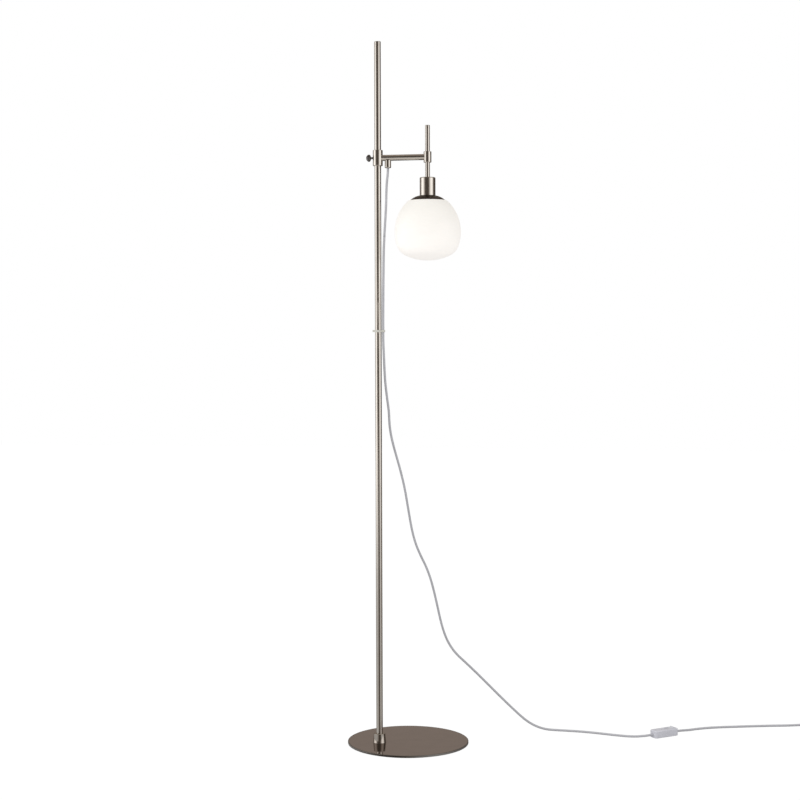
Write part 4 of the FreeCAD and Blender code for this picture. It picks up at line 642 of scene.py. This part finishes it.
def sweep(name, line, radius, sides=20):
    """A round tube along a line of points: a ring square to the line at each point."""
    along = np.gradient(line, axis=0)
    along /= np.linalg.norm(along, axis=1, keepdims=True)
    aside = np.cross(along, [0.0, 1.0, 0.0])
    aside /= np.linalg.norm(aside, axis=1, keepdims=True)
    other = np.cross(along, aside)
    angle = np.linspace(0, 2 * math.pi, sides, endpoint=False)[None, :, None]
    grid = line[:, None, :] + radius * (np.cos(angle) * aside[:, None, :] + np.sin(angle) * other[:, None, :])
    return skin(name, grid)


def baked(piece):
    """Turns a piece's modifiers into its mesh."""
    depsgraph = bpy.context.evaluated_depsgraph_get()
    mesh = bpy.data.meshes.new_from_object(
        piece.evaluated_get(depsgraph), preserve_all_data_layers=True, depsgraph=depsgraph
    )
    piece.modifiers.clear()
    piece.data = mesh
    return piece


def drill(piece, tool):
    """Removes a closed tool's space from a piece and then the tool itself."""
    cut = piece.modifiers.new("drill", "BOOLEAN")
    cut.operation = "DIFFERENCE"
    cut.solver = "EXACT"
    cut.object = tool
    baked(piece)
    bpy.data.objects.remove(tool)
    piece.data.set_sharp_from_angle(angle=math.radians(35))


def dress(piece, material, body, *nodes):
    """Gives a piece its finish and body, and hides the model nodes that it stands for."""
    piece.data.materials.clear()
    piece.data.materials.append(finishes[material])
    if body:
        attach(piece, body)
    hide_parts(*nodes)
    return piece


# %% [markdown]
# ## Metal
# The metal is nickel-plated steel with a satin brush. Its colour is a warm grey, and what one sees is mostly
# the room. The brush leaves hairlines, so reflections smear across them. Noise stretched about a hundred
# times along the brush makes those lines; it feeds a bump about a thousandth of a millimetre deep and a
# little change of roughness. Tubes are brushed lengthwise, turned pieces round and round, and the foot
# straight across. The foot, its collar and the knob are the same nickel, but their colours are made darker
# than the tubes', as they look in the picture: that darkness is painted shade.


# %% Satin nickel
def satin_metal(name, colour, scale, rough, depth=8e-7, rim=None):
    """Plated metal whose hairlines run along the axis or axes with the smallest scale.

    A rim (middle x, middle y, radius, in metres) marks a plate's edge beyond it, which is painted darker as
    painted shade and made duller.
    """
    graph = finish(name)
    lines = graph.noise(graph.place(scale), 1.0, 3.0, 0.6)
    patches = graph.noise(graph.place((1, 1, 1)), 34.0, 2.0)
    darker = tuple(channel * 0.9 for channel in colour[:3]) + (1.0,)
    tint = graph.mix((lines * 0.55 + patches * 0.45).ramp(0.3, 0.7), darker, colour)
    roughness = rough + (lines - 0.5) * 0.08 + (patches - 0.5) * 0.05
    if rim:
        reach = graph.vector("DISTANCE", graph.place((1, 1, 0)), (*rim[:2], 0))
        # Beyond the rim the colour goes dark as painted shade, and the roughness goes up.
        painted_shade_edge = reach.ramp(rim[2] - RIM_FADE, rim[2])
        tint = graph.mix(painted_shade_edge, tint, EDGE_PAINTED_SHADE)
        roughness = roughness + painted_shade_edge * 0.3
    graph.surface(
        {
            "Base Color": tint,
            "Metallic": 1.0,
            "Roughness": roughness.clipped(),
            "Normal": graph.bump(lines, depth),
        }
    )


NICKEL = (0.63, 0.585, 0.53, 1)
# The foot's, the collar's and the knob's colours are the same nickel made darker: painted shade.
FOOT_PAINTED_SHADE_NICKEL = (0.512, 0.453, 0.437, 1)
KNOB_PAINTED_SHADE_NICKEL = (0.19, 0.18, 0.175, 1)
COLLAR_PAINTED_SHADE_NICKEL = (0.50, 0.455, 0.405, 1)
# The colour that the foot's edge is darkened towards: painted shade, a dark band on the same metal.
EDGE_PAINTED_SHADE = (0.23, 0.215, 0.20, 1)
RIM_FADE = 0.0024
disc_middle, disc_r = middle("base_disc"), np.ptp(span("base_disc")[:, 0]) / 2
foot_rim = (disc_middle[0] * MM, disc_middle[1] * MM, (disc_r - 0.4) * MM)
satin_metal("nickel_upright", NICKEL, (2600, 2600, 14), 0.18)
satin_metal("nickel_level", NICKEL, (14, 2600, 2600), 0.20)
satin_metal("nickel_turned", NICKEL, (60, 60, 5200), 0.15)
# The foot, collar and knob finishes carry painted shade in their darker colours.
satin_metal("foot_nickel", FOOT_PAINTED_SHADE_NICKEL, (9, 900, 900), 0.08, 6e-7, foot_rim)
satin_metal("collar_painted_shade_nickel", COLLAR_PAINTED_SHADE_NICKEL, (60, 60, 5200), 0.08, 6e-7)
satin_metal("knob_painted_shade_nickel", KNOB_PAINTED_SHADE_NICKEL, (14, 2600, 2600), 0.22)
satin_metal("dark_metal", (0.085, 0.072, 0.062, 1), (60, 60, 3000), 0.26)
satin_metal("zinc", (0.60, 0.61, 0.62, 1), (700, 700, 700), 0.32, 3e-6)
satin_metal("plated_brass", (0.74, 0.68, 0.55, 1), (300, 300, 300), 0.22)
print("metals:", sorted(finishes))

# %% [markdown]
# ## Plastic, rubber and lead
# Moulded plastic is smooth, with a faint orange-peel and a slightly uneven shine. The lead's jacket is the
# same material with a finer grain. A fine noise gives the peel, and a broad one moves colour and roughness by
# a few per cent.


# %% Moulded plastics
def moulded(name, colour, rough, peel_scale=900.0, peel_depth=4e-6, coat=0.0):
    """Moulded plastic with an orange-peel bump and slightly uneven colour and shine."""
    graph = finish(name)
    where = graph.place()
    peel = graph.noise(where, peel_scale, 3.0, 0.55)
    cloud = graph.noise(where, 46.0, 2.0)
    shade = tuple(channel * 0.93 for channel in colour[:3]) + (1.0,)
    tint = graph.mix(cloud.ramp(0.25, 0.75), shade, colour)
    graph.surface(
        {
            "Base Color": tint,
            "Roughness": (rough + (cloud - 0.5) * 0.16 + (peel - 0.5) * 0.05).clipped(),
            "Coat Weight": coat,
            "Normal": graph.bump(peel, peel_depth),
        }
    )


moulded("lead_jacket", paint(202, 202, 207), 0.46, 1500.0, 5e-6)
moulded("switch_plastic", paint(229, 229, 237), 0.34, 1100.0, 4e-6, 0.1)
moulded("rocker_plastic", paint(226, 227, 233), 0.26, 1100.0, 2e-6, 0.2)
moulded("clip_plastic", paint(222, 220, 210), 0.40)
moulded("tie_plastic", paint(38, 38, 40), 0.55, 700.0, 9e-6)
moulded("nylon", paint(226, 223, 212), 0.50)
moulded("holder_plastic", paint(232, 229, 220), 0.45)
moulded("bush_rubber", paint(196, 196, 198), 0.68, 800.0, 8e-6)
moulded("bulb_plastic", paint(240, 238, 230), 0.35)
moulded("foam", paint(40, 40, 42), 0.92, 2300.0, 6e-5)

# %% [markdown]
# ## Opal glass
# The globe is opal glass: a milky body that scatters light, with a fine etched surface. It could be a
# volume, but that is slow and noisy. The Principled shader's subsurface gives the same soft, even white. A
# milky globe also passes light on from all its sides to its underside, which a thin shell of this shader
# doesn't, so its body colour is low and more than half of the white is painted light: a glow of its own
# that stands in for that light, stronger below, and dimmer and warmer above, as painted shade under the cap.

# %% Opal
THIN_MILK, THICK_MILK = (0.41, 0.405, 0.395, 1), (0.44, 0.435, 0.425, 1)
# Glow colours of the globe, painted light: full low down, dimmer and warmer at the top as painted shade under
# the cap.
LOW_PAINTED_GLOW, TOP_PAINTED_SHADE_GLOW, OPAL_PAINTED_LIGHT_STRENGTH = (1.0, 0.97, 0.94, 1), (0.76, 0.74, 0.69, 1), 0.655
GLOW_FROM_Z, GLOW_TO_Z = 1.05, 1.175
opal = finish("opal_glass")
opal_where = opal.place()
etched = opal.noise(opal_where, 2200.0, 2.0, 0.6)
flow_marks = opal.noise(opal.place((5, 5, 26)), 1.0, 3.0)
milk = opal.mix(flow_marks.ramp(0.3, 0.7), THIN_MILK, THICK_MILK)
height_up = opal.node("ShaderNodeSeparateXYZ", {}, {0: opal_where}, "Z")
opal.surface(
    {
        "Base Color": milk,
        "Roughness": (0.42 + (etched - 0.5) * 0.2).clipped(),
        "Subsurface Weight": 0.35,
        "Subsurface Radius": (0.012, 0.011, 0.010),
        "Subsurface Scale": 1.0,
        # Painted light: the glow is stronger low down and dimmer and warmer near the cap, as painted shade
        # under it.
        "Emission Color": opal.mix(height_up.ramp(GLOW_FROM_Z, GLOW_TO_Z), LOW_PAINTED_GLOW, TOP_PAINTED_SHADE_GLOW),
        "Emission Strength": OPAL_PAINTED_LIGHT_STRENGTH,
        "Normal": opal.bump(etched, 3e-6),
    }
)
print("finishes:", len(finishes))

# %% [markdown]
# ## The lead
# Two stretches beside the pole have to bend when the arm turns or slides, so they are meshes swept along the
# same smooth curve: the neck turns from the arm to the slider, and the riser stretches from the slider to
# the clip. From there the lead is a plain curve with thickness.

# %% Neck and riser
neck_line = line_of("cord_neck", NECK_ROUTE)
neck = sweep("lead_neck", neck_line, CORD / 2)
dress(neck, "lead_jacket", None, "cord_neck")
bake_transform(neck)

riser_line = line_of("cord_riser", RISER_ROUTE)
riser = sweep("lead_riser", riser_line, CORD / 2)
dress(riser, "lead_jacket", None, "cord_riser")
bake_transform(riser)


def run_length(line):
    """Length of a line of points, in millimetres."""
    return float(np.linalg.norm(np.diff(line, axis=0), axis=1).sum())


drop = dress(nurbs("lead_drop", DROP_ROUTE, CORD), "lead_jacket", "stand", "cord_drop")
tail = dress(nurbs("lead_tail", tail_points, CORD), "lead_jacket", "stand", "cord_tail", "cord_coil")
drop_line = line_of("lead_drop", DROP_ROUTE)
tail_line = line_of("lead_tail", tail_points)
print("lead:", [round(run_length(line)) for line in (neck_line, riser_line, drop_line, tail_line)])

# %% [markdown]
# ## Foot and pole
# The foot is a flat steel plate whose edge is just broken, drilled and countersunk from below for the pole's
# screw. The hole is a turned shape too, a cone and a cylinder, and a Boolean takes it out of the plate. The
# plate's edge is made duller than its face and its colour darker, as painted shade: a mask by distance from
# the plate's middle finds it.
# A collar with a slight taper stands on the plate, and the pole goes up through the collar in two tubes that
# meet flush, with a hair-wide groove at the joint.

# %% Foot
disc_low, disc_high = height_of("base_disc")
SINK_R, HOLE_R = 7.67, 4.05
foot = lathe(
    "foot_plate",
    soften([(0, disc_low), (disc_r, disc_low), (disc_r, disc_high), (0, disc_high)], [0, 0.5, 0.6, 0]),
    disc_middle[:2],
    256,
)
drill_outline = np.array(
    [
        (0, disc_low - 1),
        (SINK_R + 1, disc_low - 1),
        (HOLE_R, disc_low + SINK_R - HOLE_R),
        (HOLE_R, disc_high + 1),
        (0, disc_high + 1),
    ]
)
drill(foot, lathe("countersink", drill_outline, POLE, 72))
# The foot's darker nickel is painted shade.
dress(foot, "foot_nickel", "stand", "base_disc")

collar_low, collar_high = height_of("base_collar")
POLE_R = radius_of("pole_lower")
FIT = 0.05
collar_low_r, collar_top_r = radius_of("base_collar"), 12.3
collar = lathe(
    "foot_collar",
    soften(
        [
            (POLE_R + FIT, collar_low),
            (collar_low_r, collar_low),
            (collar_low_r - 0.15, collar_low + 1.2),
            (collar_top_r, collar_high),
            (POLE_R + FIT, collar_high),
        ],
        [0.02, 0.15, 0.4, 0.9, 0.3],
    ),
    POLE,
)
# The collar's darker nickel is painted shade.
dress(collar, "collar_painted_shade_nickel", "stand", "base_collar")

# %% Pole
POLE_WALL, HAIR_GAP = 1.2, 0.02


def open_tube(name, node, radius, wall, soft, axis, body, segments=96):
    """An upright tube as tall as its node, with softened ends."""
    low, high = height_of(node)
    outline = [(radius - wall, low), (radius, low), (radius, high), (radius - wall, high)]
    return dress(lathe(name, soften(outline, soft), axis, segments), "nickel_upright", body, node)


def end_cap(name, node, tube, radius, wall, softs, axis, body, segments=96):
    """A plain cap: a spigot in a tube's bore under a lid as wide as the tube."""
    low, high = height_of(node)
    lid, bore = height_of(tube)[1] + HAIR_GAP, radius - wall - FIT
    outline = [(0, low), (bore, low), (bore, lid), (radius, lid), (radius, high), (0, high)]
    return dress(lathe(name, soften(outline, softs), axis, segments), "nickel_turned", body, node)


for node in ("pole_lower", "pole_upper"):
    open_tube(node + "_skin", node, POLE_R, POLE_WALL, 0.18, POLE, "stand")
end_cap("pole_end", "pole_cap", "pole_upper", POLE_R, POLE_WALL, [0, 0.3, 0.02, 0.18, 0.7, 0], POLE, "stand")
print("pole", round(2 * POLE_R, 1), "mm, foot", round(2 * disc_r, 1), "mm")

# %% [markdown]
# ## Clamp, arm and sleeve
# The clamp and the sleeve are short turned tubes. The arm is a third tube that meets both of them side-on,
# so its ends are saddles: a point at height and depth y from the arm's axis starts where the clamp's wall is,
# at x = sqrt(R² - y²) from the clamp's axis.


# %% Clamp and sleeve
def ring_skin(name, node, axis, bore, material, body, soft=0.7):
    """A turned ring with softened edges, as tall and wide as its node."""
    low, high = height_of(node)
    outer = radius_of(node)
    outline = soften([(bore, low), (outer, low), (outer, high), (bore, high)], [0.3, soft, soft, 0.3])
    return dress(lathe(name, outline, axis), material, body, node)


LINER_R = radius_of("clamp_liner")
CLAMP_R = radius_of("arm_clamp")
ROD_R = radius_of("lamp_rod")
SLEEVE_R = radius_of("arm_sleeve")
ring_skin("clamp_ring", "arm_clamp", POLE, LINER_R + FIT, "nickel_turned", "carriage")
ring_skin("rod_sleeve", "arm_sleeve", ROD, ROD_R + FIT, "nickel_turned", "carriage")

# %% Arm
ARM_R = radius_of("arm_tube")
ARM_WALL = 1.2
around = np.linspace(0, 2 * math.pi, 72, endpoint=False)


def saddle_ring(radius, wall_radius, axis_x, side):
    """A ring of the arm's tube where it meets an upright wall."""
    depth, rise = radius * np.cos(around), radius * np.sin(around)
    meet = axis_x + side * np.sqrt(wall_radius**2 - depth**2)
    return np.column_stack([meet, POLE[1] + depth, ARM_Z + rise])


near_out = saddle_ring(ARM_R, CLAMP_R + HAIR_GAP, POLE[0], 1)
far_out = saddle_ring(ARM_R, SLEEVE_R + HAIR_GAP, ROD[0], -1)
near_in = saddle_ring(ARM_R - ARM_WALL, CLAMP_R + HAIR_GAP, POLE[0], 1)
far_in = saddle_ring(ARM_R - ARM_WALL, SLEEVE_R + HAIR_GAP, ROD[0], -1)
shares = np.array([0, 0.004, 0.02, 0.2, 0.4, 0.6, 0.8, 0.98, 0.996, 1.0])[:, None, None]
outside = near_out + shares * (far_out - near_out)
inside = far_in + shares * (near_in - far_in)
arm = skin("arm_skin", np.concatenate([outside, inside]), close_rows=True)
dress(arm, "nickel_level", "carriage", "arm_tube")

# %% [markdown]
# ## Thumb screw
# A small knob behind the pole locks the arm. It is a turned mushroom with a flat back, and its rim carries
# shallow flutes for the fingers: depth · ((1 + cos 14 a) / 2)² is taken from the radius, times a share that
# grows with the square of the radius from nothing at the flutes' inner end to one at the rim.

# %% Knob
KNOB_LONG, KNOB_R, KNOB_BACK = 9.2, 7.5, 4.9
KNOB_FLUTES, FLUTE_DEPTH, FLUTE_FROM_R = 14, 0.55, 5.6
knob_tip_x = LINER_R + 0.2
knob_profile = soften(
    [
        (-CLAMP_R - KNOB_BACK - KNOB_LONG, 0),
        (-CLAMP_R - KNOB_BACK - KNOB_LONG, 3.4),
        (-CLAMP_R - KNOB_BACK - 0.62 * KNOB_LONG, KNOB_R),
        (-CLAMP_R - KNOB_BACK - 0.20 * KNOB_LONG, KNOB_R),
        (-CLAMP_R - KNOB_BACK, 4.6),
        (-CLAMP_R - KNOB_BACK, 2.3),
        (-CLAMP_R - 0.2, 2.3),
        (-CLAMP_R - 0.2, 2.0),
        (-knob_tip_x, 2.0),
        (-knob_tip_x, 0),
    ],
    [0, 2.2, 1.8, 1.3, 0.5, 0.3, 0.2, 0.1, 0.5, 0],
)
spin = np.linspace(0, 2 * math.pi, KNOB_FLUTES * 12, endpoint=False)[None, :]
knob_x, knob_r = knob_profile[:, :1], np.maximum(knob_profile[:, 1:], 0)
rimness = np.clip((knob_r - FLUTE_FROM_R) / (KNOB_R - FLUTE_FROM_R), 0, 1) ** 2
fluted = knob_r - rimness * FLUTE_DEPTH * (0.5 + 0.5 * np.cos(KNOB_FLUTES * spin)) ** 2
knob_grid = np.stack(
    [POLE[0] + knob_x + 0 * spin, POLE[1] + fluted * np.cos(spin), ARM_Z + fluted * np.sin(spin)], axis=-1
)
knob = skin("thumb_knob", knob_grid, close_rows=True)
# The knob's darker nickel is painted shade.
dress(knob, "knob_painted_shade_nickel", "thumb_screw", "thumb_screw")

# %% [markdown]
# ## Gland
# The lead leaves the arm through a short turned gland. Its top is cut to the arm's round underside: at depth
# y it ends at the height z = arm - sqrt(R² - y²). Inside sits a soft bush that grips the lead.

# %% Gland
gland_low, gland_high = height_of("cord_gland")
gland_r, gland_bore = radius_of("cord_gland"), 4.1
gland_outline = soften(
    [(gland_bore, gland_low), (gland_r, gland_low), (gland_r, gland_high), (gland_bore, gland_high)],
    [0.4, 1.3, 0.05, 0.05],
)
gland = lathe("gland_skin", gland_outline, GLAND)
points = np.empty(len(gland.data.vertices) * 3)
gland.data.vertices.foreach_get("co", points)
points = points.reshape(-1, 3) / MM
depth = np.clip(np.abs(points[:, 1] - POLE[1]), 0, ARM_R)
roof = ARM_Z - np.sqrt((ARM_R + 0.03) ** 2 - depth**2)
share_up = np.clip((points[:, 2] - gland_low) / (gland_high - gland_low), 0, 1)
points[:, 2] = np.where(share_up > 0.3, np.minimum(points[:, 2], roof), points[:, 2])
gland.data.vertices.foreach_set("co", (points * MM).ravel())
dress(gland, "nickel_turned", "carriage", "cord_gland")

# %% [markdown]
# ## Lamp head
# The rod is a thin tube with a flat cap. The cup hangs on it, open below, with a softly rounded top edge. The
# dark cap under it is spun sheet: an arc of a circle from the cup to the globe's shoulder, with a rolled rim.

# %% Rod and cup
ROD_WALL = 1.0
open_tube("rod_skin", "lamp_rod", ROD_R, ROD_WALL, 0.15, ROD, "carriage", 72)
end_cap("rod_end", "rod_cap", "lamp_rod", ROD_R, ROD_WALL, [0, 0.2, 0.02, 0.15, 0.6, 0], ROD, "carriage", 72)

cup_low, cup_high = height_of("holder_cup")
CUP_R, CUP_WALL = radius_of("holder_cup"), 1.2
cup = lathe(
    "cup_skin",
    soften(
        [
            (ROD_R + FIT, cup_high - CUP_WALL),
            (CUP_R - CUP_WALL, cup_high - CUP_WALL),
            (CUP_R - CUP_WALL, cup_low),
            (CUP_R, cup_low),
            (CUP_R, cup_high),
            (ROD_R + FIT, cup_high),
        ],
        [0.1, 0.6, 0.2, 0.35, 1.7, 0.25],
        8,
    ),
    ROD,
    128,
)
dress(cup, "nickel_turned", "carriage", "holder_cup")

# %% Dark cap
CAP_ARC, CAP_SHEET, CAP_HOLE, CAP_FLAT = 40.0, 1.0, 14.0, CUP_R + 0.4
cap_rim_z, cap_top_z = height_of("shade_cap")
cap_rim_r = radius_of("shade_cap")
start_point, end_point = np.array([CAP_FLAT, cap_top_z]), np.array([cap_rim_r, cap_rim_z])
half_chord = (end_point - start_point) / 2
across = np.array([half_chord[1], -half_chord[0]]) / np.linalg.norm(half_chord)
dome_centre = start_point + half_chord + across * math.sqrt(CAP_ARC**2 - half_chord @ half_chord)
dome_from, dome_to = (math.atan2(*(spot - dome_centre)[::-1]) for spot in (start_point, end_point))
sweep_out = np.linspace(dome_from, dome_to, 28)
dome = dome_centre + CAP_ARC * np.column_stack([np.cos(sweep_out), np.sin(sweep_out)])
dome_inside = dome_centre + (CAP_ARC - CAP_SHEET) * np.column_stack([np.cos(sweep_out), np.sin(sweep_out)])
rim_middle = (dome[-1] + dome_inside[-1]) / 2
roll = np.linspace(0, math.pi, 9)[1:-1]
rim_way = (dome[-1] - dome_inside[-1]) / 2
rim_out = np.array([rim_way[1], -rim_way[0]])
rim = rim_middle + np.cos(roll)[:, None] * rim_way + 0.4 * np.sin(roll)[:, None] * rim_out
cap_outline = np.vstack(
    [
        [(CAP_HOLE, cap_top_z), (CAP_FLAT - 0.6, cap_top_z)],
        dome,
        rim,
        dome_inside[::-1],
        [(CAP_FLAT - 1.1, cap_top_z - CAP_SHEET), (CAP_HOLE, cap_top_z - CAP_SHEET)],
    ]
)
shade_cap = lathe("cap_skin", cap_outline, ROD, 144)
dress(shade_cap, "dark_metal", "carriage", "shade_cap")

# %% [markdown]
# ## The globe
# Blown into a mould, the globe is widest a little below its middle. Its outline is three arcs that touch in
# line: a long one up the side, a tighter one round the lower corner and a flat-curved one underneath. Two
# touching circles share a point on the line through their centres, so the corner arc's centre is where two
# circles about the other centres cross. The inner wall is the same outline moved in by the glass.

# %% Globe outline
GLASS = 2.6
WIDE_Z, WIDE_R, SHOULDER_Z = 1097.0, 70.0, 1163.2
SIDE_ARC, CORNER_ARC, LOW_ARC, GLOBE_DROP = 90.0, 35.0, 110.0, 59.8
NECK_R, NECK_TALL = 26.0, 5.4
NECK_BORE = NECK_R - 0.92 * GLASS


def arc(centre, radius, begin, end, count):
    """Points on a circle from one of its points to another, the short way."""
    first, last = (math.atan2(spot[1] - centre[1], spot[0] - centre[0]) for spot in (begin, end))
    angle = np.linspace(first, last, count)
    return centre + radius * np.column_stack([np.cos(angle), np.sin(angle)])


def globe_line(inset):
    """The globe's outline from its lowest point up to its shoulder, moved inwards by the inset."""
    side_centre = np.array([WIDE_R - SIDE_ARC, WIDE_Z])
    low_centre = np.array([0.0, WIDE_Z - GLOBE_DROP + LOW_ARC])
    gap = low_centre - side_centre
    far, near, between = SIDE_ARC - CORNER_ARC, LOW_ARC - CORNER_ARC, np.linalg.norm(gap)
    along = (between**2 + far**2 - near**2) / (2 * between)
    aside = math.sqrt(far**2 - along**2)
    unit = gap / between
    corner_centre = side_centre + unit * along + np.array([unit[1], -unit[0]]) * aside
    side, corner, low = SIDE_ARC - inset, CORNER_ARC - inset, LOW_ARC - inset
    top_z = SHOULDER_Z - inset
    top = np.array([side_centre[0] + math.sqrt(side**2 - (top_z - WIDE_Z) ** 2), top_z])
    to_side = corner_centre + (corner_centre - side_centre) / far * corner
    to_low = corner_centre + (corner_centre - low_centre) / near * corner
    bottom = np.array([0.0, WIDE_Z - GLOBE_DROP + inset])
    return np.vstack(
        [
            arc(low_centre, low, bottom, to_low, 22)[:-1],
            arc(corner_centre, corner, to_low, to_side, 26)[:-1],
            arc(side_centre, side, to_side, top, 44),
        ]
    )


outer_line, inner_line = globe_line(0), globe_line(GLASS)
shoulder_r = outer_line[-1, 0]
neck_out = np.array(
    [
        (shoulder_r - 0.5, SHOULDER_Z),
        (NECK_R + 0.8, SHOULDER_Z),
        (NECK_R + 0.2, SHOULDER_Z + 0.2),
        (NECK_R, SHOULDER_Z + 0.8),
        (NECK_R, SHOULDER_Z + NECK_TALL - 0.6),
        (NECK_R - 0.6, SHOULDER_Z + NECK_TALL),
        (NECK_BORE + 0.6, SHOULDER_Z + NECK_TALL),
        (NECK_BORE, SHOULDER_Z + NECK_TALL - 0.6),
        (NECK_BORE, SHOULDER_Z - GLASS),
    ]
)
globe_outline = np.vstack([outer_line[:-1], neck_out, inner_line[::-1]])
globe = lathe("globe_skin", globe_outline, ROD, 192)
dress(globe, "opal_glass", "carriage", "glass_shade")
print("globe", round(float(outer_line[:, 0].max()) * 2, 1), "mm wide, shoulder", round(float(shoulder_r), 1))

# %% [markdown]
# ## Pieces whose modelled shape is right already
# Screws, liners and the lampholder are hidden, and the clip, the switch, the tie and the plug are small. They
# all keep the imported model's own mesh and only get their finish.

# %% Finishes of the remaining nodes
NODE_FINISH = {
    "base_felt": "foam",
    "base_screw": "zinc",
    "pole_foot_plug": "zinc",
    "pole_socket": "zinc",
    "pole_stud": "zinc",
    "clamp_liner": "nylon",
    "sleeve_screw": "zinc",
    "gland_bush": "bush_rubber",
    "rod_nut": "zinc",
    "lampholder_body": "holder_plastic",
    "lampholder_shell": "plated_brass",
    "holder_ring": "holder_plastic",
    "shade_carrier": "zinc",
    "bulb_base": "bulb_plastic",
    "bulb_glass": "opal_glass",
    "inner_lead": "lead_jacket",
    "switch_contacts": "switch_plastic",
    "switch_screws": "zinc",
    "rocker_pin": "zinc",
    "cable_clip": "clip_plastic",
    "switch_base": "switch_plastic",
    "switch_top": "switch_plastic",
    "switch_rocker": "rocker_plastic",
    "coil_tie": "tie_plastic",
    "plug_body": "switch_plastic",
    "plug_pins": "plated_brass",
}
for node, material in NODE_FINISH.items():
    for place_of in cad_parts[node].material_slots:
        place_of.material = finishes[material]
